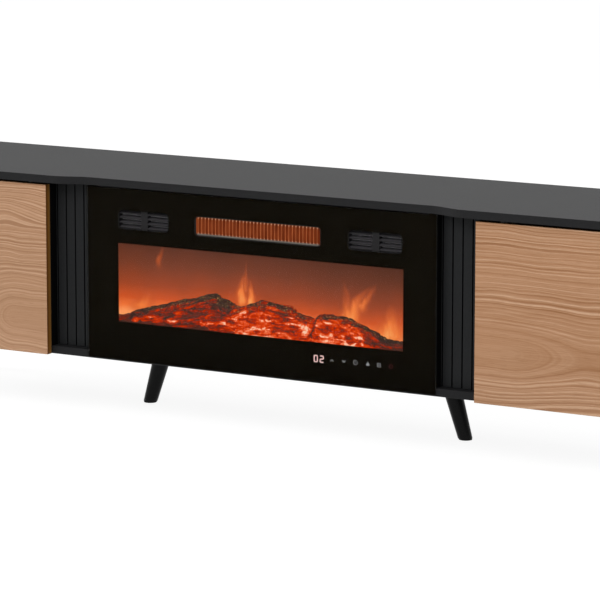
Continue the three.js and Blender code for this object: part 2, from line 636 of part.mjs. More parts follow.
function addRearCover() {
  const y = [SHELL_BACK_Y, COVER_BACK_Y];
  const cover = box([-SHELL_X, SHELL_X], y, [DECK_Z, SHELL_TOP_Z]);
  const slots = [];
  for (const [, sign] of SIDES) {
    for (let index = 0; index < SLOT_COUNT; index += 1) {
      const x = sign * SLOT_BANK_X + (index - (SLOT_COUNT - 1) / 2) * SLOT_PITCH;
      slots.push(box([x - SLOT_WIDTH / 2, x + SLOT_WIDTH / 2], grown(y, CUT_OVERRUN), SLOT_Z));
    }
  }
  const neckHole = barY(GLAND_NECK_RADIUS + SEAT_GAP, GLAND_X, grown(y, CUT_OVERRUN), GLAND_Z, GLAND_SIDES);
  add('insert_rear_cover', cut(cover, ...slots, neckHole), BLACK_SHEET);
  const neckY = [y[0] - GLAND_FLANGE, y[1] + GLAND_TAIL];
  const flangeY = [y[1] + SEAT_GAP, y[1] + SEAT_GAP + GLAND_FLANGE];
  const neck = barY(GLAND_NECK_RADIUS, GLAND_X, neckY, GLAND_Z, GLAND_SIDES);
  const flange = barY(GLAND_FLANGE_RADIUS, GLAND_X, flangeY, GLAND_Z, GLAND_SIDES);
  const bore = barY(GLAND_BORE_RADIUS, GLAND_X, grown(neckY, CUT_OVERRUN), GLAND_Z, GLAND_SIDES);
  add('cord_gland', cut(join(neck, flange), bore), RUBBER);
}

function addFlameRotor() {
  const motorEnd = ROTOR_MOTOR_X[1];
  const boreEnd = motorEnd - ROTOR_MOTOR_BORE_DEPTH;
  const shaft = barX(ROTOR_SHAFT_RADIUS, [boreEnd + SEAT_GAP, SHELL_X], ROTOR_Y, ROTOR_Z, ROTOR_SIDES);
  const firstX = motorEnd + ROTOR_STRIP_END_GAP;
  const pitch = (SHELL_INNER_X - ROTOR_STRIP_END_GAP - firstX) / (ROTOR_STRIP_COUNT - 1);
  const strips = [];
  for (let index = 0; index < ROTOR_STRIP_COUNT; index += 1) {
    const x = firstX + index * pitch;
    const strip = new THREE.BoxGeometry(ROTOR_STRIP_WIDTH, ROTOR_STRIP_THICKNESS, 2 * ROTOR_STRIP_REACH);
    strip.rotateX(THREE.MathUtils.degToRad(index * ROTOR_STRIP_TURN_DEG));
    strips.push(strip.translate(x, ROTOR_Y, ROTOR_Z));
  }
  add('flame_rotor', join(shaft, ...strips), MIRROR_STRIP);

  const drum = barX(ROTOR_MOTOR_RADIUS, ROTOR_MOTOR_X, ROTOR_Y, ROTOR_Z, GLAND_SIDES);
  const footY = grown([ROTOR_Y, ROTOR_Y], ROTOR_FOOT_WIDTH / 2);
  const foot = box(ROTOR_MOTOR_X, footY, [SHELL_FLOOR_Z + SEAT_GAP, ROTOR_Z]);
  const bore = barX(
    ROTOR_SHAFT_RADIUS + RUNNING_GAP, [boreEnd, motorEnd + CUT_OVERRUN], ROTOR_Y, ROTOR_Z, ROTOR_SIDES,
  );
  add('rotor_motor', cut(join(drum, foot), bore), MOTOR_STEEL);
}

// Firebox: ember bed and logs in front of the flame screen, lit from a board under the bed
const BED_SETBACK = 8;
const BED_WALL = 2.5;
const BED_WINDOW_DROP = 2;
const BED_SLOPE_RISE = 7;
const LIGHT_BOARD_END_GAP = 72.2;
const LIGHT_BOARD_WIDTH = 18;
const BOARD_THICKNESS = 1.6;
const HEATER_DECK_DROP = 20;
const BED_Y = [PLATE_BACK_Y + BED_SETBACK, SCREEN_Y - SEAT_GAP];
const BED_FRONT_Z = WINDOW_Z[0] - BED_WINDOW_DROP;
const BED_BACK_Z = BED_FRONT_Z + BED_SLOPE_RISE;
const INSIDE_X = SHELL_INNER_X - SEAT_GAP;
const HEATER_DECK_Z = MOUTH_Z[0] - HEATER_DECK_DROP;

function addFirebox() {
  const floorZ = SHELL_FLOOR_Z + SEAT_GAP;
  add('heater_deck', box(
    [-INSIDE_X, INSIDE_X], [SHELL_FRONT_Y, SHELL_BACK_Y - SEAT_GAP],
    [HEATER_DECK_Z, HEATER_DECK_Z + COVER_SHEET],
  ), BLACK_SHEET);
  add('flame_screen', box(
    [-INSIDE_X, INSIDE_X], [SCREEN_Y, SCREEN_Y + SCREEN_THICKNESS], [floorZ, HEATER_DECK_Z - SEAT_GAP],
  ), FLAME_SCREEN);
  const [y0, y1] = BED_Y;
  const bed = outline([
    [y0, floorZ], [y0 + BED_WALL, floorZ], [y0 + BED_WALL, BED_FRONT_Z - BED_WALL],
    [y1 - BED_WALL, BED_BACK_Z - BED_WALL], [y1 - BED_WALL, floorZ], [y1, floorZ],
    [y1, BED_BACK_Z], [y0, BED_FRONT_Z],
  ]);
  add('ember_bed', plateYZ(bed, [-INSIDE_X, INSIDE_X]), EMBER_RESIN);
  const midY = (y0 + y1) / 2;
  add('ember_light_board', box(
    grown([-INSIDE_X, INSIDE_X], -LIGHT_BOARD_END_GAP), grown([midY, midY], LIGHT_BOARD_WIDTH / 2),
    [floorZ, floorZ + BOARD_THICKNESS],
  ), CIRCUIT_BOARD);
}

// Logs. Each end is given by its place across half the window's width, from the bed's front to
// the screen, and above the bed in a middling log's radii, and then by its thickness in the same.
const LOG_RADIUS = 20;
const LOG_SIDES = 9;
const LOG_RINGS = 4;
const LOG_KNOT_COUNT = 3;
const LOG_KNOT_SHARE = 0.1;
const LOG_KNOT_TURN_DEG = 137;
const LOG_SHARES = [
  { from: [-1.1, 0.5, 0.28], to: [-0.92, 0.4, 0.37], thickness: [0.8, 0.65] },
  { from: [-0.99, 0.62, 0.28], to: [-0.38, 0.5, 3.13], thickness: [0.75, 1.25] },
  { from: [-0.8, 0.28, 0.09], to: [-0.32, 0.25, 1.29], thickness: [0.6, 0.8] },
  { from: [-0.4, 0.34, 0.46], to: [0.16, 0.6, 2.58], thickness: [0.9, 1.3] },
  { from: [-0.08, 0.6, 2.76], to: [0.34, 0.53, 1.29], thickness: [1.2, 1.1] },
  { from: [-0.19, 0.22, 0], to: [0.32, 0.19, 0.37], thickness: [0.75, 0.95] },
  { from: [0.31, 0.56, 1.2], to: [0.58, 0.53, 1.66], thickness: [1.25, 1.1] },
  { from: [0.51, 0.5, 1.84], to: [0.85, 0.44, 0.09], thickness: [1.1, 0.75] },
  { from: [0.4, 0.22, 0], to: [0.78, 0.19, -0.18], thickness: [0.85, 0.6] },
];

function logEnd([across, back, up]) {
  return new THREE.Vector3(
    across * WINDOW_HALF_X,
    BED_Y[0] + back * (BED_Y[1] - BED_Y[0]),
    BED_FRONT_Z + up * LOG_RADIUS,
  );
}

function logShape({ from, to, thickness }, turn) {
  const start = logEnd(from);
  const along = logEnd(to).sub(start);
  const [fromRadius, toRadius] = thickness.map((share) => share * LOG_RADIUS);
  const log = new THREE.CylinderGeometry(toRadius, fromRadius, along.length(), LOG_SIDES, LOG_RINGS);
  const points = log.attributes.position;
  for (let index = 0; index < points.count; index += 1) {
    const [x, y, z] = [points.getX(index), points.getY(index), points.getZ(index)];
    const angle = Math.atan2(z, x);
    const level = y / along.length();
    const swell = 1 + LOG_KNOT_SHARE * Math.sin(LOG_KNOT_COUNT * angle + 2 * Math.PI * level + turn);
    points.setXYZ(index, x * swell, y, z * swell);
  }
  const quaternion = new THREE.Quaternion().setFromUnitVectors(
    new THREE.Vector3(0, 1, 0), along.clone().normalize(),
  );
  const middle = start.add(along.multiplyScalar(1 / 2));
  return log.applyQuaternion(quaternion).translate(middle.x, middle.y, middle.z);
}

function addLogs() {
  const turn = THREE.MathUtils.degToRad(LOG_KNOT_TURN_DEG);
  const heap = join(...LOG_SHARES.map((log, index) => logShape(log, index * turn)));
  const [y0, y1] = BED_Y;
  const room = plateYZ(outline([
    [y0, BED_FRONT_Z + SEAT_GAP], [y1, BED_BACK_Z + SEAT_GAP], [y1, HEATER_DECK_Z], [y0, HEATER_DECK_Z],
  ]), [-INSIDE_X, INSIDE_X]);
  add('log_set', common(heap, room), CHARRED_LOG);
}

// Heater: a copper grille in its bezel, the element, and a cross-flow blower in its duct
const BEZEL_WALL = 2;
const BEZEL_DEPTH = 12;
const FIN_COUNT = 36;
const FIN_WIDTH = 1.6;
const FIN_DEPTH = 2;
const FIN_SETBACK = 6;
const RAIL_HEIGHT = 1.6;
const DUCT_SHEET = 1.5;
const DUCT_RADIUS = 39;
const DUCT_MOUTH_LAP = 18;
const DUCT_BACK_GAP = 11;
const DUCT_FRONT_GAP = 0.4;
const DUCT_INTAKE_END_INSET = 10;
const DUCT_INTAKE_LENGTH = 34;
const ELEMENT_TUBE_RADIUS = 5;
const ELEMENT_TUBE_COUNT = 3;
const ELEMENT_TUBE_PITCH = 15;
const ELEMENT_HOLDER = 2;
const ELEMENT_HOLDER_DEPTH = 14;
const ELEMENT_SIDES = 10;
const WHEEL_RADIUS = 26;
const WHEEL_END_GAP = 30.5;
const WHEEL_DISC = 2;
const WHEEL_BLADE_COUNT = 16;
const WHEEL_BLADE_THICKNESS = 1.2;
const WHEEL_BLADE_DEPTH = 8;
const WHEEL_SHAFT_RADIUS = 3;
const WHEEL_SIDES = 20;
const BLOWER_MOTOR_RADIUS = 20;
const BLOWER_MOTOR_LENGTH = 34;
const BLOWER_MOTOR_BORE_DEPTH = 12;
const DUCT_FLOOR_Z = HEATER_DECK_Z + COVER_SHEET + SEAT_GAP;
const DUCT_AXIS_Z = DUCT_FLOOR_Z + DUCT_RADIUS;
const DUCT_AXIS_Y = SHELL_BACK_Y - DUCT_BACK_GAP - DUCT_RADIUS;
const DUCT_HALF_X = MOUTH_X[1] + DUCT_MOUTH_LAP;
const WHEEL_HALF_X = DUCT_HALF_X - DUCT_SHEET - WHEEL_END_GAP;
const DUCT_INNER_RADIUS = DUCT_RADIUS - DUCT_SHEET;
const BEZEL_Y = [PLATE_FRONT_Y, PLATE_FRONT_Y + BEZEL_DEPTH];
const DUCT_FRONT_Y = BEZEL_Y[1] + DUCT_FRONT_GAP;

function addHeaterFront() {
  const outer = [grown(MOUTH_X, -SEAT_GAP), grown(MOUTH_Z, -SEAT_GAP)];
  const inner = [grown(outer[0], -BEZEL_WALL), grown(outer[1], -BEZEL_WALL)];
  const cornerRadius = OPENING_CORNER_RADIUS - SEAT_GAP;
  const block = plateXZ(roundedRectangle(...outer, cornerRadius), BEZEL_Y);
  const hollow = plateXZ(
    roundedRectangle(...inner, cornerRadius - BEZEL_WALL), grown(BEZEL_Y, CUT_OVERRUN),
  );
  add('heater_bezel', cut(block, hollow), GREY_PLASTIC);

  const x = grown(inner[0], -SEAT_GAP);
  const z = grown(inner[1], -SEAT_GAP);
  const y = [PLATE_FRONT_Y + FIN_SETBACK, PLATE_FRONT_Y + FIN_SETBACK + FIN_DEPTH];
  const fins = [];
  for (let index = 0; index < FIN_COUNT; index += 1) {
    const finX = x[0] + (x[1] - x[0]) * (index + 1 / 2) / FIN_COUNT;
    fins.push(box([finX - FIN_WIDTH / 2, finX + FIN_WIDTH / 2], y, grown(z, -RAIL_HEIGHT / 2)));
  }
  const railX = grown(x, -OPENING_CORNER_RADIUS);
  const midZ = (z[0] + z[1]) / 2;
  const rails = [
    box(railX, y, [z[0], z[0] + RAIL_HEIGHT]),
    box(railX, y, [z[1] - RAIL_HEIGHT, z[1]]),
    box(x, y, grown([midZ, midZ], RAIL_HEIGHT / 2)),
  ];
  const mould = plateXZ(roundedRectangle(x, z, OPENING_CORNER_RADIUS - BEZEL_WALL), grown(y, CUT_OVERRUN));
  add('heater_grille', common(join(...rails, ...fins), mould), COPPER);
}

function addDuct() {
  const arch = (radius, frontY) => {
    const shape = new THREE.Shape();
    shape.moveTo(frontY, DUCT_AXIS_Z - radius);
    shape.absarc(DUCT_AXIS_Y, DUCT_AXIS_Z, radius, -Math.PI / 2, Math.PI / 2);
    shape.lineTo(frontY, DUCT_AXIS_Z + radius);
    return shape;
  };
  const x = [-DUCT_HALF_X, DUCT_HALF_X];
  const body = plateYZ(arch(DUCT_RADIUS, DUCT_FRONT_Y), x);
  const hollow = plateYZ(arch(DUCT_INNER_RADIUS, DUCT_FRONT_Y - CUT_OVERRUN), grown(x, -DUCT_SHEET));
  const intake = box(
    grown([-WHEEL_HALF_X, WHEEL_HALF_X], -DUCT_INTAKE_END_INSET),
    [DUCT_AXIS_Y - DUCT_INTAKE_LENGTH, DUCT_AXIS_Y],
    [DUCT_AXIS_Z, DUCT_AXIS_Z + DUCT_RADIUS + CUT_OVERRUN],
  );
  const shaftHole = barX(
    WHEEL_SHAFT_RADIUS + RUNNING_GAP, grown(x, CUT_OVERRUN), DUCT_AXIS_Y, DUCT_AXIS_Z, ROTOR_SIDES,
  );
  add('blower_duct', cut(body, hollow, intake, shaftHole), BLACK_SHEET);
}

function addElement() {
  const half = DUCT_HALF_X - DUCT_SHEET - SEAT_GAP;
  const y = (DUCT_FRONT_Y + DUCT_AXIS_Y - WHEEL_RADIUS) / 2;
  const holderZ = grown([DUCT_AXIS_Z, DUCT_AXIS_Z], DUCT_INNER_RADIUS - SEAT_GAP);
  const holders = SIDES.map(([, sign]) => box(
    onSide(sign, half - ELEMENT_HOLDER, half), grown([y, y], ELEMENT_HOLDER_DEPTH / 2), holderZ,
  ));
  const tubes = [];
  for (let index = 0; index < ELEMENT_TUBE_COUNT; index += 1) {
    const z = DUCT_AXIS_Z + (index - (ELEMENT_TUBE_COUNT - 1) / 2) * ELEMENT_TUBE_PITCH;
    tubes.push(barX(ELEMENT_TUBE_RADIUS, grown([0, 0], half - ELEMENT_HOLDER / 2), y, z, ELEMENT_SIDES));
  }
  add('heater_element', join(...holders, ...tubes), HOT_ELEMENT);
}

function addBlower() {
  const motorX = [DUCT_HALF_X + SEAT_GAP, DUCT_HALF_X + SEAT_GAP + BLOWER_MOTOR_LENGTH];
  const shaftEnd = motorX[0] + BLOWER_MOTOR_BORE_DEPTH - SEAT_GAP;
  const shaft = barX(WHEEL_SHAFT_RADIUS, [-DUCT_HALF_X, shaftEnd], DUCT_AXIS_Y, DUCT_AXIS_Z, ROTOR_SIDES);
  const discs = SIDES.map(([, sign]) => barX(
    WHEEL_RADIUS, onSide(sign, WHEEL_HALF_X - WHEEL_DISC, WHEEL_HALF_X), DUCT_AXIS_Y, DUCT_AXIS_Z,
    WHEEL_SIDES,
  ));
  const blades = [];
  for (let index = 0; index < WHEEL_BLADE_COUNT; index += 1) {
    const blade = box(
      grown([-WHEEL_HALF_X, WHEEL_HALF_X], -WHEEL_DISC / 2),
      [WHEEL_RADIUS - WHEEL_BLADE_DEPTH - WHEEL_BLADE_THICKNESS, WHEEL_RADIUS - WHEEL_BLADE_THICKNESS],
      grown([0, 0], WHEEL_BLADE_THICKNESS / 2),
    );
    blade.rotateX(2 * Math.PI * index / WHEEL_BLADE_COUNT);
    blades.push(blade.translate(0, DUCT_AXIS_Y, DUCT_AXIS_Z));
  }
  add('blower_wheel', join(shaft, ...discs, ...blades), GREY_PLASTIC);

  const drum = barX(BLOWER_MOTOR_RADIUS, motorX, DUCT_AXIS_Y, DUCT_AXIS_Z, WHEEL_SIDES);
  const bore = barX(
    WHEEL_SHAFT_RADIUS + RUNNING_GAP, [motorX[0] - CUT_OVERRUN, motorX[0] + BLOWER_MOTOR_BORE_DEPTH],
    DUCT_AXIS_Y, DUCT_AXIS_Z, ROTOR_SIDES,
  );
  add('blower_motor', cut(drum, bore), MOTOR_STEEL);
}

// Air vents beside the heater: frames behind the front plate, with slanted blades and a middle post
const VENT_FRAME_LAP = 4;
const VENT_DEPTH = 14.7;
const VENT_POST_WIDTH = 18;
const BLADE_COUNT = 4;
const BLADE_THICKNESS = 2.4;
const BLADE_DEPTH = 12;
const BLADE_DROP = 5;
const BLADE_SETBACK = 0.7;

function addVents() {
  for (const [side, sign] of SIDES) {
    const x = grown(ventX(sign), VENT_FRAME_LAP);
    const z = grown(VENT_Z, VENT_FRAME_LAP);
    const y = [SHELL_FRONT_Y, SHELL_FRONT_Y + VENT_DEPTH];
    const mould = plateXZ(roundedRectangle(x, z, OPENING_CORNER_RADIUS + VENT_FRAME_LAP), y);
    const hollow = plateXZ(
      roundedRectangle(ventX(sign), VENT_Z, OPENING_CORNER_RADIUS), grown(y, CUT_OVERRUN),
    );
    const midX = (x[0] + x[1]) / 2;
    const post = box(grown([midX, midX], VENT_POST_WIDTH / 2), [y[0] + BLADE_SETBACK, y[1]], z);
    const blades = [];
    for (let index = 0; index < BLADE_COUNT; index += 1) {
      const level = (index + 1 / 2) / BLADE_COUNT;
      const bladeZ = VENT_Z[0] + VENT_HEIGHT * level - BLADE_DROP / 2;
      const frontY = y[0] + BLADE_SETBACK;
      const backY = frontY + BLADE_DEPTH;
      blades.push(plateYZ(outline([
        [frontY, bladeZ - BLADE_THICKNESS / 2], [backY, bladeZ + BLADE_DROP - BLADE_THICKNESS / 2],
        [backY, bladeZ + BLADE_DROP + BLADE_THICKNESS / 2], [frontY, bladeZ + BLADE_THICKNESS / 2],
      ]), x));
    }
    add(`${side}_vent_louvre`, common(join(cut(mould, hollow), post, ...blades), mould), LOUVRE_PLASTIC);
  }
}

// Circuit boards: the touch display behind the front plate and the power board behind the screen
const DISPLAY_SIDE_MARGIN = 93.2;
const DISPLAY_WIDTH = 232;
const DISPLAY_RISE = 38;
const DISPLAY_HEIGHT = 34;
const POWER_BOARD_SIDE_INSET = 72.5;
const POWER_BOARD_WIDTH = 150;
const POWER_BOARD_DEPTH = 44;
const POWER_BOARD_BACK_INSET = 6;
const RELAY_SIZE = 18;
const RELAY_HEIGHT = 15;
const RELAY_PITCH = 34;
const RELAY_COUNT = 4;
const DISPLAY_OUTER_X = GLASS_X - DISPLAY_SIDE_MARGIN;
const DISPLAY_X = [DISPLAY_OUTER_X - DISPLAY_WIDTH, DISPLAY_OUTER_X];
const POWER_BOARD_OUTER_X = SHELL_INNER_X - POWER_BOARD_SIDE_INSET;
const POWER_BOARD_X = [POWER_BOARD_OUTER_X - POWER_BOARD_WIDTH, POWER_BOARD_OUTER_X];

function addBoards() {
  const displayZ = UNDERSIDE_Z + DISPLAY_RISE;
  add('display_board', box(
    DISPLAY_X, [SHELL_FRONT_Y, SHELL_FRONT_Y + BOARD_THICKNESS], [displayZ, displayZ + DISPLAY_HEIGHT],
  ), CIRCUIT_BOARD);
  const y1 = SHELL_BACK_Y - POWER_BOARD_BACK_INSET;
  const floorZ = SHELL_FLOOR_Z + SEAT_GAP;
  const board = box(POWER_BOARD_X, [y1 - POWER_BOARD_DEPTH, y1], [floorZ, floorZ + BOARD_THICKNESS]);
  const midX = (POWER_BOARD_X[0] + POWER_BOARD_X[1]) / 2;
  const midY = y1 - POWER_BOARD_DEPTH / 2;
  const relays = [];
  for (let index = 0; index < RELAY_COUNT; index += 1) {
    const x = midX + (index - (RELAY_COUNT - 1) / 2) * RELAY_PITCH;
    relays.push(box(
      grown([x, x], RELAY_SIZE / 2), grown([midY, midY], RELAY_SIZE / 2), [floorZ, floorZ + RELAY_HEIGHT],
    ));
  }
  add('power_board', join(board, ...relays), CIRCUIT_BOARD);
}

addTopPanel();
addBottomPanel();
addUprights();
addShelves();
addFlutedPanels();
addBackPanels();
addDoors();
addHinges();
addLatches();
addLegs();
addFrontGlass();
addShell();
addRearCover();
addFirebox();
addLogs();
addFlameRotor();
addHeaterFront();
addDuct();
addElement();
addBlower();
addVents();
addBoards();

export default model;
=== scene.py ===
"""Looks of the fireplace tv stand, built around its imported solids. Metres; the front faces -Y."""
import json
from functools import partialmethod
from math import atan2, cos, exp, hypot, pi, radians, sin, sqrt, tan, tanh

import bmesh
import bpy
from mathutils import Matrix, Vector, noise


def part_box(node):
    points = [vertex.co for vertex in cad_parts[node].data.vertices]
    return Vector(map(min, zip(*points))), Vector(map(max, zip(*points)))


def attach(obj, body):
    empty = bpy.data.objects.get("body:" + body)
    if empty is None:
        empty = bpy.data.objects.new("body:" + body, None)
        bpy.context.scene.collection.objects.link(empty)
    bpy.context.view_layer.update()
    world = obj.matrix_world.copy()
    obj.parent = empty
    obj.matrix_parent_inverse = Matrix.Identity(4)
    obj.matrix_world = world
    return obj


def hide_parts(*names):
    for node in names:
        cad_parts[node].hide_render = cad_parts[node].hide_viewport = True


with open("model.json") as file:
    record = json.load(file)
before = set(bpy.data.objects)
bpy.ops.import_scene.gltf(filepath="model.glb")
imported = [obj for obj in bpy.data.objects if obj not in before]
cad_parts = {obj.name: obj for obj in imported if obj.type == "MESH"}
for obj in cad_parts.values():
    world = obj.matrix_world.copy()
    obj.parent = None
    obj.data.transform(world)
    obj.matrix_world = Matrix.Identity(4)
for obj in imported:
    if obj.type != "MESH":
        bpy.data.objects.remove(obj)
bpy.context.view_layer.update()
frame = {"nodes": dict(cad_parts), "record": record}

SIGN = {"left": -1, "right": 1}


# Camera, at the photograph's place

CAMERA_PLACE = (3.99047, -6.95969, 1.69397)
CAMERA_YAW = radians(29.8465)
CAMERA_DROP = radians(9.9542)
CAMERA_ROLL = radians(0.0545)
CAMERA_LENS = 211.65
CAMERA_SENSOR = 36


def set_camera():
    data = bpy.data.cameras.new("camera")
    data.lens = CAMERA_LENS
    data.sensor_width = CAMERA_SENSOR
    camera = bpy.data.objects.new("camera", data)
    turn = (
        Matrix.Rotation(CAMERA_YAW, 4, "Z")
        @ Matrix.Rotation(pi / 2 - CAMERA_DROP, 4, "X")
        @ Matrix.Rotation(CAMERA_ROLL, 4, "Z")
    )
    camera.matrix_world = Matrix.Translation(CAMERA_PLACE) @ turn
    bpy.context.collection.objects.link(camera)
    bpy.context.scene.camera = camera


# Node building

def seen(red, green, blue):
    """A colour in the shaders' linear values, from 0 to 255 as the eye sees it."""
    def linear(level):
        share = level / 255
        return share / 12.92 if share <= 0.04045 else ((share + 0.055) / 1.055) ** 2.4
    return (linear(red), linear(green), linear(blue), 1.0)


class Nodes:
    """The node tree of a material or world, with short calls that add nodes to it."""

    def __init__(self, owner):
        owner.use_nodes = True
        self.tree = owner.node_tree

    def feed(self, socket, value):
        """Give a socket a node's output, a colour as the eye sees it (a tuple) or a plain value."""
        if isinstance(value, bpy.types.NodeSocket):
            self.tree.links.new(value, socket)
        elif isinstance(value, tuple):
            socket.default_value = seen(*value)
        else:
            socket.default_value = value

    def node(self, kind, inputs=(), **settings):
        made = self.tree.nodes.new("ShaderNode" + kind)
        for name, value in settings.items():
            setattr(made, name, value)
        for name, value in dict(inputs).items():
            self.feed(made.inputs[name], value)
        return made

    def math(self, operation, *values, clamp=False):
        return self.node("Math", enumerate(values), operation=operation, use_clamp=clamp).outputs[0]

    plus = partialmethod(math, "ADD")
    minus = partialmethod(math, "SUBTRACT")
    times = partialmethod(math, "MULTIPLY")


class Finish(Nodes):
    """A material, with short calls for the nodes that the finishes share."""

    SOCKETS = {
        "colour": "Base Color", "roughness": "Roughness", "metallic": "Metallic", "alpha": "Alpha",
        "specular": "Specular IOR Level", "glow": "Emission Color", "glow_level": "Emission Strength",
        "normal": "Normal",
    }

    def __init__(self, name):
        self.material = bpy.data.materials.new(name)
        super().__init__(self.material)
        self.shader = self.tree.nodes["Principled BSDF"]
        coordinates = self.node("TexCoord").outputs
        self.place = coordinates["Object"]
        self.facing = coordinates["Normal"]

    def set(self, **values):
        """Feed the shader; gives the material, which is then ready."""
        for name, value in values.items():
            self.feed(self.shader.inputs[self.SOCKETS[name]], value)
        return self.material

    def axes(self, vector=None):
        return self.node("SeparateXYZ", {0: vector or self.place}).outputs

    def hypot(self, first, second):
        squares = [self.math("POWER", value, 2.0) for value in (first, second)]
        return self.math("SQRT", self.plus(*squares))

    def noise(self, scale, detail=2.0, roughness=0.5, distortion=0.0):
        """Noise at one scale, or drawn out by a scale for each axis."""
        place = self.place
        if isinstance(scale, tuple):
            place = self.node("Mapping", {"Vector": place, "Scale": Vector(scale)}).outputs[0]
            scale = 1.0
        inputs = {"Vector": place, "Scale": scale, "Detail": detail, "Roughness": roughness,
                  "Distortion": distortion}
        return self.node("TexNoise", inputs).outputs["Fac"]

    def facing_along(self, axis, least):
        """1 on faces that look along an axis, either way."""
        return self.math("GREATER_THAN", self.math("ABSOLUTE", self.axes(self.facing)[axis]), least)

    def ramp(self, share, *stops):
        made = self.node("ValToRGB", {0: share})
        elements = made.color_ramp.elements
        while len(elements) < len(stops):
            elements.new(1.0)
        for element, (position, colour) in zip(elements, stops):
            element.position = position
            element.color = seen(*colour)
        return made.outputs[0]

    def mix(self, share, first, second):
        return self.node("Mix", {0: share, 6: first, 7: second}, data_type="RGBA").outputs[2]

    def span(self, value, low, high, to_low=0.0, to_high=1.0, smooth=False):
        kind = "SMOOTHSTEP" if smooth else "LINEAR"
        inputs = enumerate((value, low, high, to_low, to_high))
        return self.node("MapRange", inputs, interpolation_type=kind).outputs[0]

    def vary(self, pattern, low=0.0, high=1.0):
        """From low to high over the middle of a noise's range."""
        return self.span(pattern, 0.3, 0.7, low, high)

    def bump(self, height, distance, strength=1.0):
        inputs = {"Strength": strength, "Distance": distance, "Height": height}
        return self.node("Bump", inputs).outputs[0]

    def attribute(self, name):
        return self.node("Attribute", attribute_name=name).outputs["Fac"]


# Finishes of the cabinet

def laminate(f, dark, light, roughness, specular):
    """Matt black laminate with a fine pressed grain."""
    speckle = f.noise(620, 4, 0.7)
    cloud = f.noise(9, 3)
    share = f.plus(f.span(speckle, 0.36, 0.64), f.vary(cloud, -0.12, 0.12), clamp=True)
    return f.set(
        colour=f.mix(share, dark, light),
        roughness=f.vary(speckle, roughness - 0.06, roughness + 0.06),
        specular=specular,
        normal=f.bump(speckle, 0.00012, 0.5),
    )


# Depths of the grooves between the ribs, which are painted near black as a painted shade
GROOVE_Y = (-0.1728, -0.1712)


def fluted(f):
    """Matt black laminate on the ribs; the grooves between them are painted near black, a painted shade."""
    depth = f.axes()[1]
    speckle = f.noise(620, 4, 0.7)
    rib = f.mix(f.span(speckle, 0.36, 0.64), (28, 29, 30), (37, 38, 39))
    return f.set(
        colour=f.mix(f.span(depth, *GROOVE_Y), rib, (3, 3, 4)),
        roughness=f.vary(speckle, 0.46, 0.58),
        specular=f.span(depth, *GROOVE_Y, 0.1, 0.02),
        normal=f.bump(speckle, 0.00012, 0.5),
    )


def veneer(f, heart, reach, depths, slant, swell, waver, pitch, spread, calm, boldness, cast, burl=None):
    """Oak veneer laid with its grain along X: the rings round the heart leave arcs and straight lines.

    The heart's depth below the face goes from one value to the other over its reach along X.
    The pitch sets how close the rings lie, and the spread how much wider they lie near the heart.
    A burl is a place, its half width and half height, and how far it spreads the rings apart.
    """
    x, y, z = f.axes()
    heart_x, heart_z = heart
    drift = f.noise((2.6, 1, 3.4), 2, 0.5)
    ripple = f.noise((8, 1, 26), 2, 0.5)
    wander = f.plus(f.span(drift, 0.2, 0.8, -swell, swell), f.span(ripple, 0.2, 0.8, -waver, waver))
    along = f.minus(x, heart_x)
    across = f.plus(f.minus(z, heart_z), f.math("MULTIPLY_ADD", along, slant, wander))
    away = f.span(x, *reach, *depths, smooth=True)
    rings = f.hypot(across, away)
    if burl:
        (burl_x, burl_z), (half_width, half_height), push = burl
        aside = f.math("DIVIDE", f.minus(x, burl_x), half_width)
        above = f.math("DIVIDE", f.plus(f.minus(z, burl_z), wander), half_height)
        near = f.span(f.hypot(aside, above), 0.0, 1.0, push, 0.0, smooth=True)
        rings = f.minus(rings, near)
    count = f.times(f.math("POWER", rings, spread), pitch)
    inputs = {"W": count, "Scale": 1.0, "Detail": 2.5, "Roughness": 0.62}
    years = f.node("TexNoise", inputs, noise_dimensions="1D").outputs["Fac"]
    bold = f.times(f.span(rings, 0.02, 0.1, calm, 1.0), f.span(z, 0.17, 0.25, *boldness))
    year = f.times(f.minus(years, 0.5), bold)
    fibre = f.noise((10, 1, 520), 5, 0.7)
    pores = f.noise((34, 1, 1300), 2, 0.5)
    broad = f.noise((2.2, 1, 13), 3)
    tone = f.ramp(
        f.plus(f.span(year, -0.22, 0.22), f.vary(fibre, -0.2, 0.2)),
        (0.0, (138, 92, 56)), (0.26, (158, 112, 76)), (0.5, (171, 127, 93)),
        (0.74, (182, 140, 107)), (1.0, (202, 163, 132)),
    )
    tone = f.mix(f.span(broad, 0.35, 0.7, 0.0, 0.4), tone, (184, 140, 106))
    tone = f.mix(f.span(drift, 0.45, 0.75, 0.0, 0.3), tone, (160, 124, 92))
    tone = f.mix(cast, tone, (178, 146, 120))
    tone = f.mix(f.span(z, 0.24, 0.18, 0.0, 0.16), tone, (206, 166, 136))
    tone = f.mix(f.span(pores, 0.6, 0.7, 0.0, 0.4), tone, (128, 84, 50))
    # The door's side edges: an edge band's own brown, darkened further as painted shade, darkest towards
    # their front
    edge = f.facing_along(1, 0.5)
    edge_band_and_shade = f.ramp(
        f.span(y, -0.217, -0.199),
        (0.0, (96, 56, 14)), (0.4, (104, 62, 18)), (0.6, (130, 86, 32)), (1.0, (100, 74, 40)),
    )
    return f.set(
        colour=f.mix(edge, edge_band_and_shade, tone),
        roughness=f.vary(fibre, 0.52, 0.4),
        specular=0.22,
        normal=f.bump(f.plus(fibre, f.times(pores, 0.6)), 0.0001, 0.5),
    )


def hardboard(f):
    """Pressed black fibreboard."""
    fibres = f.noise((210, 210, 480), 5, 0.75)
    return f.set(
        colour=f.mix(f.span(fibres, 0.35, 0.65), (30, 29, 29), (44, 43, 42)),
        roughness=f.vary(fibres, 0.62, 0.8),
        specular=0.2,
        normal=f.bump(fibres, 0.00025, 0.6),
    )


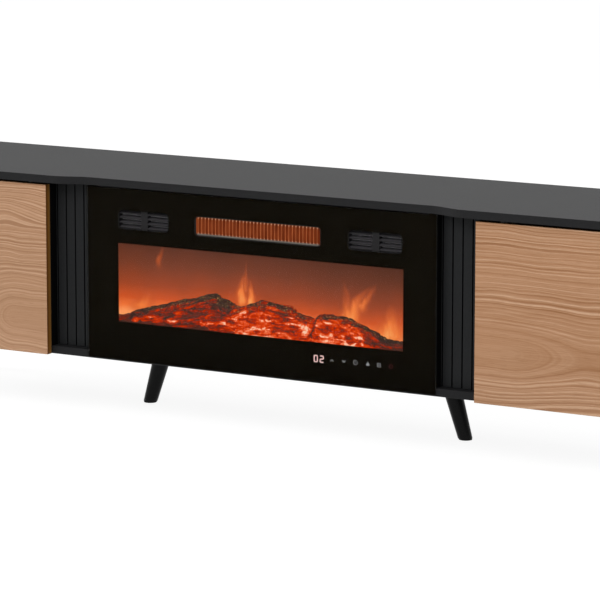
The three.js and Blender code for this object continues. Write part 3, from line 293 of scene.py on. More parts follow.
# Noises for the tone and the skin, the tone's range, how far the gloss sways, and the relief
PAINT = ((1400, 3, 0.7), (260, 2), (0.4, 0.62), 0.05, (0.0002, 0.35))
PLASTIC = (((14, 14, 60), 2), (1700, 2, 0.6), (0.35, 0.65), 0.06, (0.00006, 0.5))


def coated(f, kind, dark, light, roughness, specular=0.4):
    """Sprayed paint with a faint orange peel, or moulded plastic or rubber with a spark-eroded skin."""
    tone, skin, reach, sway, relief = kind
    grain = f.noise(*skin)
    return f.set(
        colour=f.mix(f.span(f.noise(*tone), *reach), dark, light),
        roughness=f.vary(grain, roughness - sway, roughness + sway),
        specular=specular,
        normal=f.bump(grain, *relief),
    )


def louvre(f):
    """Dark grey moulding; its upward-facing sloping blades are painted paler than its front, a painted
    light.
    """
    skin = f.noise(1500, 2, 0.6)
    upward = f.axes(f.facing)[2]
    front = f.mix(f.span(skin, 0.35, 0.65), (28, 27, 28), (34, 33, 34))
    return f.set(
        colour=f.mix(f.span(upward, 0.5, 0.8), front, (62, 60, 63)),
        roughness=f.vary(skin, 0.34, 0.44),
        specular=0.1,
        normal=f.bump(skin, 0.00005, 0.4),
    )


def bare_metal(f, dark, light, roughness, brushed=(60, 900, 900)):
    """Plated or drawn metal, with its lines along one axis."""
    lines = f.noise(brushed, 4, 0.7)
    stain = f.noise(38, 3)
    return f.set(
        colour=f.mix(f.vary(stain), dark, light),
        metallic=1.0,
        roughness=f.span(lines, 0.25, 0.75, roughness - 0.1, roughness + 0.1),
        normal=f.bump(lines, 0.00005, 0.4),
    )


def board(f):
    """A printed circuit board: solder mask over thin tracks."""
    tracks = f.node("TexVoronoi", {"Vector": f.place, "Scale": 240}, feature="DISTANCE_TO_EDGE")
    mottle = f.noise(500, 2)
    copper = f.span(tracks.outputs["Distance"], 0.06, 0.02)
    tone = f.mix(f.vary(mottle), (16, 62, 38), (24, 78, 48))
    return f.set(
        colour=f.mix(copper, tone, (70, 118, 66)),
        roughness=f.vary(mottle, 0.28, 0.4),
        normal=f.bump(copper, 0.00004, 0.6),
    )


# Finishes of the fireplace

# The fins' turned ends, where their painted highlight lies: the middle height, and how far from it the
# highlight fades in
TIPS_MIDDLE_Z = 0.473
TIPS_OFF = (0.0152, 0.0166)


def glazing(f):
    """Smoked glass, mostly clear to what lies behind it, with a ground edge."""
    smudge = f.noise(7, 4, 0.6)
    face = f.facing_along(1, 0.7)
    return f.set(
        colour=f.mix(face, (52, 52, 50), (14, 9, 2)),
        alpha=f.span(face, 0.0, 1.0, 0.85, 0.12),
        roughness=f.vary(smudge, 0.03, 0.07),
        specular=0.1,
    )


def enamel(f):
    """Gloss black paint on the plate behind the glass, painted darker towards the bottom as painted shade.
    """
    height = f.axes()[2]
    peel = f.noise(300, 2)
    tone = f.mix(f.span(peel, 0.35, 0.65), (11, 8, 3), (15, 11, 5))
    return f.set(
        colour=f.mix(f.span(height, 0.24, 0.16), tone, (6, 4, 1)),
        roughness=f.vary(peel, 0.3, 0.36),
        specular=0.01,
        normal=f.bump(peel, 0.0001, 0.2),
    )


def flame_shape(f, x, z, foot, tip, half_width, sway):
    """How bright one tongue of flame is: broad and bright low down, drawn out to its tip."""
    (foot_x, foot_z), (tip_x, tip_z) = foot, tip
    rise = f.span(z, foot_z, tip_z)
    bend = f.times(f.math("SINE", f.times(rise, pi)), sway)
    middle = f.plus(f.math("MULTIPLY_ADD", rise, tip_x - foot_x, foot_x), bend)
    left = f.minus(1.0, rise)
    width = f.math("MULTIPLY_ADD", f.math("POWER", left, 0.8), half_width, 0.002)
    off = f.math("DIVIDE", f.math("ABSOLUTE", f.minus(x, middle)), width)
    core = f.span(off, 1.7, 0.1, smooth=True)
    foot_fade = f.span(z, foot_z - 0.03, foot_z, smooth=True)
    return f.times(core, f.times(foot_fade, f.math("POWER", left, 0.9)))


# Flames on the screen: foot, tip, half a width, sideways sway, and how bright each is
FLAMES = (
    ((-0.086, 0.298), (-0.074, 0.364), 0.012, -0.005, 0.90),
    ((-0.074, 0.325), (-0.075, 0.396), 0.004, 0.001, 0.42),
    ((-0.063, 0.296), (-0.067, 0.352), 0.010, 0.005, 0.90),
    ((0.198, 0.282), (0.256, 0.362), 0.024, -0.010, 0.84),
    ((0.228, 0.312), (0.264, 0.368), 0.012, 0.003, 0.60),
    ((0.192, 0.296), (0.180, 0.370), 0.009, 0.003, 0.50),
    ((0.300, 0.250), (0.303, 0.326), 0.030, 0.003, 0.90),
    ((-0.309, 0.372), (-0.300, 0.412), 0.005, 0.003, 0.34),
    ((-0.356, 0.262), (-0.330, 0.306), 0.024, 0.003, 0.62),
    ((0.052, 0.280), (0.048, 0.312), 0.018, -0.003, 0.25),
)
SCREEN_GLOW = 1.22


def flame_screen(f):
    """Frosted screen lit from behind: a glow that rises from the fire, with tongues of flame."""
    x, _, z = f.axes()
    lick = f.noise((9, 1, 5), 3, 0.55)
    height = f.plus(z, f.span(lick, 0.25, 0.75, 0.012, -0.012))
    glow = f.ramp(
        f.span(height, 0.245, 0.41),
        (0.0, (254, 156, 94)), (0.1, (240, 116, 56)), (0.22, (206, 84, 38)),
        (0.42, (158, 69, 37)), (0.7, (118, 59, 38)), (1.0, (86, 47, 33)),
    )
    dusk = f.times(f.span(x, 0.0, 0.40, 0.0, 0.5), f.span(z, 0.28, 0.38))
    glow = f.mix(dusk, glow, (64, 32, 18))
    flicker = f.noise((64, 1, 22), 4, 0.6)
    shift = f.plus(x, f.span(flicker, 0.2, 0.8, -0.006, 0.006))
    tongues = None
    for foot, tip, half_width, sway, bright in FLAMES:
        shape = f.times(flame_shape(f, shift, z, foot, tip, half_width, sway), bright)
        tongues = shape if tongues is None else f.math("MAXIMUM", tongues, shape)
    tongues = f.times(tongues, f.vary(flicker, 0.75, 1.15))
    fire = f.ramp(
        tongues,
        (0.0, (176, 78, 42)), (0.3, (208, 94, 44)),
        (0.6, (240, 124, 58)), (1.0, (252, 168, 94)),
    )
    grain = f.noise(900, 2)
    return f.set(
        colour=(30, 22, 20),
        glow=f.mix(f.times(tongues, 1.7, clamp=True), glow, fire),
        glow_level=f.vary(grain, SCREEN_GLOW * 0.97, SCREEN_GLOW * 1.03),
        roughness=0.6,
        specular=0.1,
    )


def burning(f, cool, glow_level):
    """Charred resin lit from inside: what glows follows the warmth kept on the mesh."""
    warmth = f.attribute("warmth")
    crack = f.attribute("crack")
    ridge = f.attribute("ridge")
    blotch = f.noise(95, 4, 0.6, distortion=0.8)
    fine = f.noise(330, 4, 0.7)
    level = f.plus(warmth, f.span(blotch, 0.25, 0.75, -0.20, 0.20))
    level = f.plus(level, f.span(fine, 0.25, 0.75, -0.12, 0.12))
    level = f.math("MULTIPLY_ADD", crack, -0.18, level)
    glow = f.ramp(
        level,
        (0.0, cool), (0.2, (84, 38, 30)), (0.38, (128, 32, 12)), (0.56, (184, 40, 2)),
        (0.74, (224, 68, 12)), (0.9, (250, 132, 88)), (1.0, (254, 200, 168)),
    )
    spark = f.times(f.span(fine, 0.61, 0.65), f.span(ridge, 0.72, 0.9))
    ash = f.mix(f.span(fine, 0.4, 0.7), (24, 15, 9), (58, 40, 28))
    return f.set(
        colour=f.mix(f.span(level, 0.3, 0.6), ash, (16, 5, 2)),
        glow=f.mix(f.times(spark, 0.9), glow, (236, 188, 104)),
        glow_level=glow_level,
        roughness=f.vary(fine, 0.55, 0.85),
        specular=f.span(level, 0.3, 0.6, 0.12, 0.02),
        normal=f.bump(fine, 0.0008, 0.6),
    )


def lit_wire(f, dark, light, tip_highlight, level):
    """Copper fins with the heater's glow painted on as their own glow, and a painted highlight, brightest at
    their turned ends.
    """
    tone = f.noise((90, 10, 30), 3)
    off = f.math("ABSOLUTE", f.minus(f.axes()[2], TIPS_MIDDLE_Z))
    end = f.span(off, *TIPS_OFF, smooth=True)
    return f.set(
        colour=f.mix(f.vary(tone), (122, 62, 34), (146, 80, 46)),
        metallic=0.8,
        roughness=f.vary(tone, 0.4, 0.55),
        glow=f.mix(end, f.mix(f.vary(tone), dark, light), tip_highlight),
        glow_level=level,
    )


def rim(f):
    """Grey moulding round the heater's mouth: its inner flanks catch the copper's glow, painted on as colour
    and glow, and its upward sill is painted paler as painted light.
    """
    skin = f.noise(1700, 2, 0.6)
    flank = f.facing_along(0, 0.6)
    sill = f.math("GREATER_THAN", f.axes(f.facing)[2], 0.6)
    plain = f.mix(f.span(skin, 0.35, 0.65), (40, 39, 38), (50, 49, 47))
    return f.set(
        colour=f.mix(sill, f.mix(flank, plain, (110, 54, 26)), (112, 104, 96)),
        glow=f.mix(flank, (0, 0, 0), (128, 58, 24)),
        glow_level=0.66,
        roughness=f.vary(skin, 0.44, 0.56),
        specular=0.1,
    )


def hot_tube(f):
    """A heating element's tube, dull red hot."""
    scale = f.noise(420, 3)
    return f.set(
        colour=f.mix(f.vary(scale), (96, 50, 30), (140, 70, 38)),
        glow=f.mix(f.vary(scale), (150, 60, 20), (188, 84, 34)),
        glow_level=0.9,
        metallic=0.6,
        roughness=f.vary(scale, 0.4, 0.55),
        normal=f.bump(scale, 0.0001, 0.4),
    )


def lamp_face(f, colour, edge_colour, level):
    """A lit symbol: its light, slightly uneven as through a mask."""
    mask = f.noise(700, 2)
    return f.set(
        colour=(20, 18, 18),
        glow=f.mix(f.span(mask, 0.35, 0.65), edge_colour, colour),
        glow_level=level,
        roughness=0.5,
    )


# Every node's finish

SLOTS = {
    "black_laminate": (laminate, (27, 27, 28), (35, 35, 36), 0.5, 0.089),
    "black_fluted": (fluted,),
    "back_fibreboard": (hardboard,),
    "black_leg": (coated, PAINT, (9, 9, 9), (15, 15, 15), 0.3, 0.1),
    "rubber": (coated, PLASTIC, (20, 20, 20), (28, 28, 28), 0.75, 0.2),
    "zinc": (bare_metal, (176, 178, 180), (205, 206, 208), 0.34),
    "grey_plastic": (coated, PLASTIC, (120, 120, 118), (136, 135, 132), 0.5),
    "tinted_glass": (glazing,),
    "black_enamel": (enamel,),
    "black_sheet": (coated, PAINT, (24, 24, 24), (36, 36, 36), 0.55, 0.25),
    "louvre_plastic": (louvre,),
    "flame_screen": (flame_screen,),
    "charred_log": (burning, (46, 32, 28), 1.22),
    "ember_resin": (burning, (56, 36, 30), 1.15),
    # Copper fins: the heater's glow and the highlights at their ends are painted light
    "copper": (lit_wire, (112, 54, 20), (132, 68, 28), (218, 164, 128), 0.6),
    "hot_element": (hot_tube,),
    "mirror_strip": (bare_metal, (212, 214, 216), (228, 229, 230), 0.12, (900, 60, 60)),
    "circuit_board": (board,),
    "motor_steel": (bare_metal, (160, 161, 163), (188, 189, 190), 0.36),
}
FINISHES = {slot: make(Finish(slot), *values) for slot, (make, *values) in SLOTS.items()}
NODE_FINISHES = {
    "heater_bezel": rim(Finish("heater_rim")),
    "left_door": veneer(
        Finish("oak_left"), heart=(-0.72, 0.226), reach=(-0.76, -0.65), depths=(0.080, 0.034), slant=0.02,
        swell=0.020, waver=0.0040, pitch=280, spread=1.4, calm=0.3, boldness=(1.4, 1.6), cast=0.2,
        burl=((-0.68, 0.488), (0.16, 0.06), 0.026),
    ),
    "right_door": veneer(
        Finish("oak_right"), heart=(0.60, 0.256), reach=(0.62, 0.84), depths=(0.016, 0.050), slant=-0.01,
        swell=0.012, waver=0.003, pitch=190, spread=1.2, calm=0.35, boldness=(3.0, 0.95), cast=0.0,
    ),
}
# Painted shade: a near black laminate for the partitions' faces in the recesses beside the doors and the
# glass
RECESS = laminate(Finish("recess_painted_shade"), (5, 5, 6), (10, 10, 11), 0.6, 0.02)
# The foil's glow is painted light from the heater
FOIL_PAINTED_GLOW = lit_wire(Finish("foil_painted_glow"), (84, 32, 10), (104, 42, 14), (84, 40, 20), 0.6)
DARK_ZINC = bare_metal(Finish("dark_screw"), (58, 58, 60), (80, 80, 82), 0.4)
FILTER_FOAM = coated(Finish("filter_foam"), PLASTIC, (196, 193, 197), (212, 209, 213), 0.85, 0.1)
RAIL_GREY = coated(Finish("rail_grey"), PLASTIC, (104, 97, 90), (120, 112, 104), 0.5, 0.1)
COLLAR_PAINT = coated(Finish("collar_paint"), PAINT, (20, 20, 21), (30, 30, 30), 0.4, 0.12)
DIGIT_LIGHT = lamp_face(Finish("digit_light"), (255, 232, 228), (255, 184, 176), 1.25)
SYMBOL_LIGHT = lamp_face(Finish("symbol_light"), (170, 170, 172), (146, 146, 148), 1.15)
POWER_LIGHT = lamp_face(Finish("power_light"), (110, 24, 30), (84, 14, 20), 0.9)


def dress_nodes():
    for part in frame["record"]["subparts"]:
        name = part["node"]
        finish = NODE_FINISHES.get(name) or FINISHES[part["material_slot"]]
        # The partitions take the near black painted shade of the recesses
        if name.endswith("_partition"):
            finish = RECESS
        for socket in frame["nodes"][name].material_slots:
            socket.material = finish


# Mesh building

def placed(name, bm):
    """An object of the built mesh, in the scene."""
    mesh = bpy.data.meshes.new(name)
    bm.to_mesh(mesh)
    bm.free()
    made = bpy.data.objects.new(name, mesh)
    bpy.context.collection.objects.link(made)
    return made


def finished(name, bm, slot, finish=None, smooth=None, body="root"):
    """A piece on its body in its finish; smooth is the sharpest angle left soft."""
    bmesh.ops.recalc_face_normals(bm, faces=bm.faces)
    piece = placed(name, bm)
    piece.data.materials.append(finish or FINISHES[slot])
    if smooth:
        piece.data.shade_smooth()
        piece.data.set_sharp_from_angle(angle=radians(smooth))
    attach(piece, body)
    return piece


def clamped(share):
    return max(0.0, min(1.0, share))


def bridge(bm, first, second):
    count = len(first)
    for i in range(count):
        j = (i + 1) % count
        bm.faces.new((first[i], first[j], second[j], second[i]))


def add_skin(bm, rings):
    """An open skin through rings of as many points each; gives the rings' vertices."""
    made = [[bm.verts.new(point) for point in ring] for ring in rings]
    for first, second in zip(made, made[1:]):
        bridge(bm, first, second)
    return made


def add_loft(bm, rings):
    """A skin through rings, closed flat at both ends."""
    made = add_skin(bm, rings)
    bm.faces.new(made[0][::-1])
    bm.faces.new(made[-1])


def ellipse(centre, along, across, reach, width, sides):
    turns = [2 * pi * i / sides for i in range(sides)]
    return [centre + along * (reach * cos(turn)) + across * (width * sin(turn)) for turn in turns]


def frame_of(out):
    """Two directions square to out and to each other."""
    helper = Vector((0, 0, 1)) if abs(out.z) < 0.9 else Vector((1, 0, 0))
    along = helper.cross(out).normalized()
    return along, out.cross(along)


def turned(foot, out, profile, sides):
    """The rings of a turned form: profile gives each one's height along out and its radius."""
    along, across = frame_of(out)
    return [ellipse(foot + out * height, along, across, radius, radius, sides) for height, radius in profile]


# Screws: a domed head with a cross recess

# A screw's size is its head's radius and height
SCREW_SIDES = 24
RECESS_ARM = 0.52
RECESS_WIDTH = 0.12
RECESS_DEPTH = 0.6
RECESS_TAPER = 0.8
HEAD_DOME = ((0.0, 1.0), (0.45, 0.97), (0.8, 0.86), (1.0, 0.68))


def add_screw(bm, seat, out, radius, height):
    dome = [(height * up, radius * share) for up, share in HEAD_DOME]
    rings = add_skin(bm, turned(seat, out, dome, SCREW_SIDES))
    bm.faces.new(rings[0][::-1])
    along, across = frame_of(out)
    arm, width = radius * RECESS_ARM, radius * RECESS_WIDTH
    outline = []
    for _ in range(4):
        outline += [along * a + across * b for a, b in ((arm, -width), (arm, width), (width, width))]
        along, across = across, -along
    lip = [seat + out * height + point for point in outline]
    floor = [seat + out * (height * (1 - RECESS_DEPTH)) + point * RECESS_TAPER for point in outline]
    top, sunk = add_skin(bm, (lip, floor))
    bm.faces.new(sunk)
    edges = [bm.edges.get(pair) for ring in (rings[-1], top) for pair in zip(ring, ring[1:] + ring[:1])]
    bmesh.ops.triangle_fill(bm, edges=edges, use_beauty=True, use_dissolve=False)


def screws(name, seats, out, radius, height, finish=None, body="root"):
    bm = bmesh.new()
    for seat in seats:
        add_screw(bm, Vector(seat), Vector(out), radius, height)
    finished(name, bm, "zinc", finish, 35, body)


HINGE_SCREW = (0.0028, 0.00016)
HINGE_SCREW_SPREAD = 0.017
LEAF_MIDDLE = 0.0075
DOOR_LEAF_Y = -0.1982
FRAME_LEAF_Y = -0.1978


def add_hinge_screws():
    for side, sign in SIGN.items():
        for leaf, body, y, out in (
            ("door", f"{side}_door_body", DOOR_LEAF_Y, 1),
            ("frame", "root", FRAME_LEAF_Y, -1),
        ):
            seats = []
            for level in ("upper", "lower"):
                low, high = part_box(f"{side}_{level}_hinge_{leaf}_leaf")
                x = (low.x if sign > 0 else high.x) + sign * LEAF_MIDDLE
                middle = (low.z + high.z) / 2
                seats += [(x, y, middle + step * HINGE_SCREW_SPREAD) for step in (-1, 1)]
            screws(f"{side}_{leaf}_hinge_screws", seats, (0, out, 0), *HINGE_SCREW, body=body)


PANEL_SCREW = (0.0034, 0.0011)
SMALL_SCREW = (0.0022, 0.0009)
BOARD_MIDDLE = 0.009
SEAM_INSET = 0.005
CENTRE_SCREWS_X = (-0.564, -0.446, -0.15, 0.15, 0.446, 0.564)
UPRIGHT_SHARES = (0.35, 0.65)
COVER_INSET = 0.008
COVER_SHARE = 0.34


def rear_seats(low, high, across, ends=()):
    """Screw places along a rear panel's top and bottom edges, and between them near its ends."""
    seats = [(x, high.y, z) for x in across for z in (low.z + BOARD_MIDDLE, high.z - BOARD_MIDDLE)]
    return seats + [(x, high.y, low.z + (high.z - low.z) * share) for x in ends for share in UPRIGHT_SHARES]


def add_back_screws():
    """Screws through the back panels into the boards behind their edges, and round the rear cover."""
    for side, sign in SIGN.items():
        low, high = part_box(f"{side}_back_panel")
        inner, outer = sorted((low.x, high.x), key=abs)
        inner += sign * SEAM_INSET
        outer -= sign * BOARD_MIDDLE
        seats = rear_seats(low, high, (outer, (outer + inner) / 2, inner), (outer, inner))
        screws(f"{side}_back_screws", seats, (0, 1, 0), *PANEL_SCREW, finish=DARK_ZINC)
    ends = (CENTRE_SCREWS_X[0], CENTRE_SCREWS_X[-1])
    seats = rear_seats(*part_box("centre_back_panel"), CENTRE_SCREWS_X, ends)
    screws("centre_back_screws", seats, (0, 1, 0), *PANEL_SCREW, finish=DARK_ZINC)
    low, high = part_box("insert_rear_cover")
    across = (low.x + COVER_INSET, low.x * COVER_SHARE, high.x * COVER_SHARE, high.x - COVER_INSET)
    screws("rear_cover_screws", rear_seats(low, high, across), (0, 1, 0), *SMALL_SCREW)


LATCH_SCREW_INSETS = (0.016, 0.012)
STRIKE_SCREW = (0.0019, 0.0005)
STRIKE_SCREW_STEP = 0.0055
STRIKE_SCREW_RISE = 0.0045


def add_latch_screws():
    for side in SIGN:
        low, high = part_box(f"{side}_latch_body")
        x = (low.x + high.x) / 2
        front, rear = LATCH_SCREW_INSETS
        seats = [(x, y, low.z) for y in (low.y + front, high.y - rear)]
        screws(f"{side}_latch_screws", seats, (0, 0, -1), *SMALL_SCREW)
        low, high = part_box(f"{side}_strike_plate")
        seats = [(x + step * STRIKE_SCREW_STEP, high.y, low.z + STRIKE_SCREW_RISE) for step in (-1, 1)]
        screws(f"{side}_strike_screws", seats, (0, 1, 0), *STRIKE_SCREW, body=f"{side}_door_body")


# Shelf pins

PIN_PROFILE = ((0.0, 0.0023), (0.0012, 0.0023), (0.0013, 0.0036), (0.0024, 0.0036), (0.0026, 0.0023),
               (0.0082, 0.0023), (0.0088, 0.0018))
PIN_ROWS_Y = (-0.123, 0.1697)
PIN_Z = 0.3425
PIN_SIDES = 16
STORE_INNER_X = 0.578
STORE_OUTER_X = 0.990


def add_shelf_pins():
    for side, sign in SIGN.items():
        bm = bmesh.new()
        for y in PIN_ROWS_Y:
            for wall, out in ((STORE_INNER_X, 1), (STORE_OUTER_X, -1)):
                foot = Vector((sign * wall, y, PIN_Z))
                add_loft(bm, turned(foot, Vector((sign * out, 0, 0)), PIN_PROFILE, PIN_SIDES))
        finished(f"{side}_shelf_pins", bm, "zinc", smooth=30)


# Cable holes

RIM_PROFILE = ((0.0, 0.0300), (0.0012, 0.0300), (0.0018, 0.0306), (0.0018, 0.0338), (0.0010, 0.0350),
               (0.0, 0.0352))
CABLE_HOLE = (0.784, 0.225, 0.228)
RIM_SIDES = 48


def add_cable_rims():
    for side, sign in SIGN.items():
        x, y, z = CABLE_HOLE
        bm = bmesh.new()
        made = add_skin(bm, turned(Vector((sign * x, y, z)), Vector((0, 1, 0)), RIM_PROFILE, RIM_SIDES))
        bridge(bm, made[-1], made[0])
        finished(f"{side}_cable_rim", bm, "rubber", smooth=40)


# Legs: raked, tapered turnings, each with a foot pad and a collar

LEG_RAKE = radians(17.2)
LEG_DROP = 0.140
LEG_TOP = 0.1399
LEG_RADII = (0.016, 0.022)
LEG_SIDES = 48
LEG_STEPS = 14
PAD_HEIGHT = 0.0025
STEM_FOOT = PAD_HEIGHT + 0.002
COLLAR_FOOT = LEG_TOP - 0.0045
COLLAR_LIP = 0.0004
STEM_TOP = COLLAR_FOOT - 0.0004

# Each leg on a side: its top's place across and to the back, and its lean to the front or back
LEG_ROWS = (("front", 0.963, -0.127, -1), ("centre", 0.379, 0.014, 0), ("rear", 0.963, 0.140, 1))

# Heights and how far each ring stands proud of the leg's taper
STEM = (
    (PAD_HEIGHT, -0.0010), (PAD_HEIGHT + 0.0005, -0.0003),
    *((STEM_FOOT + (STEM_TOP - STEM_FOOT) * i / LEG_STEPS, 0.0) for i in range(LEG_STEPS + 1)),
    (STEM_TOP + 0.0002, -0.0006),
)
COLLAR = (
    (COLLAR_FOOT, -0.0006), (COLLAR_FOOT + 0.0004, COLLAR_LIP),
    (LEG_TOP - 0.0006, COLLAR_LIP), (LEG_TOP, 0.0),
)
PAD = ((0.0, -0.0018), (0.0006, -0.0012), (PAD_HEIGHT, -0.0012))


def leg_ring(top, lean, z, grow):
    """The leg's level section at height z: an ellipse, longer along the lean."""
    centre = Vector((*top, z)) + lean * ((LEG_DROP - z) * tan(LEG_RAKE))
    radius = LEG_RADII[0] + (LEG_RADII[1] - LEG_RADII[0]) * z / LEG_DROP + grow
    across = Vector((-lean.y, lean.x, 0))
    return ellipse(centre, lean, across, radius / cos(LEG_RAKE), radius, LEG_SIDES)


def leg_part(name, profile, top, lean, slot, finish=None, smooth=30):
    bm = bmesh.new()
    add_loft(bm, [leg_ring(top, lean, z, grow) for z, grow in profile])
    return finished(name, bm, slot, finish, smooth)


def add_legs():
    for side, sign in SIGN.items():
        for row, x, y, bearing in LEG_ROWS:
            top = (sign * x, y)
            lean = Vector((sign, bearing, 0)).normalized()
            leg = leg_part(f"{row}_{side}_turned_leg", STEM, top, lean, "black_leg")
            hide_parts(f"{row}_{side}_leg")
            leg_part(f"{row}_{side}_leg_collar", COLLAR, top, lean, "black_leg", COLLAR_PAINT)
            leg_part(f"{row}_{side}_foot_pad", PAD, top, lean, "rubber", smooth=40)


# Logs: where each end lies across half the window, towards the screen and above the bed, and how thick

LOGS = (
    ((-1.1, 0.5, -0.2), (-0.9, 0.4, 0.35), (0.6, 0.7)),
    ((-1.0, 0.6, 0.15), (-0.315, 0.5, 3.15), (0.75, 1.2)),
    ((-0.8, 0.28, 0.09), (-0.32, 0.25, 1.29), (0.6, 0.8)),
    ((-0.36, 0.52, 2.85), (-0.215, 0.54, 1.85), (1.1, 1.05)),
    ((-0.36, 0.56, 1.75), (-0.06, 0.52, 2.0), (1.15, 1.1)),
    ((-0.3, 0.4, 1.1), (0.0, 0.4, 0.9), (1.1, 1.1)),
    ((-0.06, 0.46, 1.2), (0.38, 0.46, 0.5), (1.15, 1.1)),
    ((-0.4, 0.34, 0.46), (-0.01, 0.58, 2.7), (0.9, 1.2)),
    ((-0.08, 0.56, 2.8), (0.2, 0.55, 2.35), (1.15, 1.0)),
    ((-0.02, 0.56, 2.5), (0.36, 0.53, 1.15), (1.1, 1.1)),
    ((-0.19, 0.22, 0), (0.34, 0.2, 0.45), (0.8, 1.1)),
    ((0.345, 0.56, 1.85), (0.62, 0.53, 1.7), (1.2, 1.1)),
    ((0.33, 0.34, 0.7), (0.66, 0.34, 0.5), (1.0, 0.9)),
    ((0.56, 0.5, 1.75), (0.87, 0.44, 0.0), (1.1, 0.7)),
    ((0.4, 0.22, 0), (0.78, 0.19, -0.18), (0.85, 0.6)),
    ((0.78, 0.5, 0.15), (1.1, 0.45, 0.15), (0.75, 0.65)),
)
HALF_WINDOW = 0.373
BED_FRONT_Y = -0.189
BED_DEPTH = 0.0637
BED_FRONT_Z = 0.231
BED_RISE = 0.007
LOG_RADIUS = 0.020
LOG_STEPS = 40
LOG_END = 0.3
LOG_WAVER = 0.10
KNOT_SIZE = 0.10
LOG_SIDES = 26
LOG_VOXEL = 0.0018
CHECK_DEPTH = 0.0028
CHECK_WIDTH = 0.16
CHECKS_PER_METRE = (34, 88)
BARK_HEIGHT = 0.0011
BARK_SWELL = 0.0016
LEAST_RIDGE = 0.004
STREAK_WANDER = (0.006, 0.004)


def log_place(share):
    across, back, up = share
    return Vector((across * HALF_WINDOW, BED_FRONT_Y + back * BED_DEPTH, BED_FRONT_Z + up * LOG_RADIUS))


def bed_z(y):
    return BED_FRONT_Z + BED_RISE * (y - BED_FRONT_Y) / BED_DEPTH


def log_axes():
    """Each log's start, run, two directions square to it and radii at its ends."""
    made = []
    for low, high, thickness in LOGS:
        start = log_place(low)
        along = log_place(high) - start
        radii = [LOG_RADIUS * thick for thick in thickness]
        made.append((start, along, *frame_of(along.normalized()), radii))
    return made


def add_log(bm, start, along, across, up, radii, seed):
    """One log: a tapered trunk that wavers, with knots on it."""
    rings = []
    for i in range(LOG_STEPS + 1):
        share = i / LOG_STEPS
        radius = radii[0] + (radii[1] - radii[0]) * share
        inset = min(1.0, min(share, 1 - share) * along.length / (0.9 * radius))
        fade = LOG_END + (1 - LOG_END) * sqrt(inset * (2 - inset))
        centre = start + along * share
        centre += up * (LOG_WAVER * radius * noise.noise(Vector((share * 4, seed, 0.3))))
        ring = []
        for j in range(LOG_SIDES):
            angle = 2 * pi * j / LOG_SIDES
            knot = noise.noise(Vector((share * 6, cos(angle) * 1.3 + seed, sin(angle) * 1.3)))
            reach = radius * fade * (1 + KNOT_SIZE * knot)
            ring.append(centre + across * (reach * cos(angle)) + up * (reach * sin(angle)))
        rings.append(ring)
    add_loft(bm, rings)


def remeshed(bm, voxel):
    """The same body as one skin of even squares."""
    draft = placed("remesh", bm)
    change = draft.modifiers.new("remesh", "REMESH")
    change.mode = "VOXEL"
    change.voxel_size = voxel
    shown = draft.evaluated_get(bpy.context.evaluated_depsgraph_get())
    result = bmesh.new()
    result.from_mesh(shown.to_mesh())
    mesh = draft.data
    bpy.data.objects.remove(draft)
    bpy.data.meshes.remove(mesh)
    return result


def nearest_log(point, axes):
    """Which log a point lies on, how far along it in metres, and at what angle round it."""
    best = None
    for index, (start, along, across, up, radii) in enumerate(axes):
        share = clamped((point - start).dot(along) / along.length_squared)
        off = point - (start + along * share)
        radius = radii[0] + (radii[1] - radii[0]) * share
        gap = off.length - radius
        if best is None or gap < best[0]:
            best = (gap, index, share * along.length, atan2(off.dot(up), off.dot(across)), radius)
    return best[1:]


def mark(bm, marks):
    """Keep each point's warmth, crack and ridge on the mesh, for its glow."""
    for name, values in zip(("warmth", "crack", "ridge"), zip(*marks)):
        layer = bm.verts.layers.float.new(name)
        for vert, value in zip(bm.verts, values):
            vert[layer] = value


def char_crack(index, run, girth):
    """How deep the charred checks are at a point, 0 between them to 1 in them."""
    along, round_it = CHECKS_PER_METRE
    place = Vector((run * along + index * 7, girth * round_it, index * 3.7))
    distances = noise.voronoi(place)[0]
    return max(0.0, 1.0 - (distances[1] - distances[0]) / CHECK_WIDTH)


RIDGE_BINS = 80
COOL_LEFT = (-0.11, 0.05)
COOL_RIGHT = (0.295, 0.02)

# Streaks of fire between the logs: from, to, half a width and how hot, below 0 for a dark gap between logs,
# a painted shade
STREAKS = (
    ((0.008, 0.267), (0.066, 0.264), 0.0022, 0.50),
    ((0.066, 0.264), (0.113, 0.259), 0.0030, 0.55),
    ((0.112, 0.257), (0.123, 0.247), 0.0055, 0.60),
    ((-0.018, 0.247), (0.029, 0.249), 0.0050, 0.42),
    ((0.050, 0.247), (0.087, 0.239), 0.0045, 0.42),
    ((0.159, 0.246), (0.185, 0.248), 0.0050, 0.50),
    ((0.211, 0.251), (0.221, 0.238), 0.0040, 0.45),
    ((0.221, 0.238), (0.236, 0.233), 0.0030, 0.40),
    ((0.242, 0.233), (0.254, 0.249), 0.0025, 0.45),
    ((0.254, 0.249), (0.267, 0.235), 0.0025, 0.45),
    ((-0.314, 0.242), (-0.270, 0.246), 0.0035, 0.50),
    ((-0.246, 0.244), (-0.224, 0.244), 0.0045, 0.40),
    ((-0.189, 0.249), (-0.157, 0.247), 0.0045, 0.50),
    ((-0.157, 0.247), (-0.098, 0.254), 0.0050, 0.45),
    ((-0.098, 0.254), (-0.045, 0.279), 0.0050, 0.28),
    ((0.134, 0.284), (0.131, 0.243), 0.0040, -0.60),
    ((-0.118, 0.300), (-0.086, 0.282), 0.0060, -0.25),
)


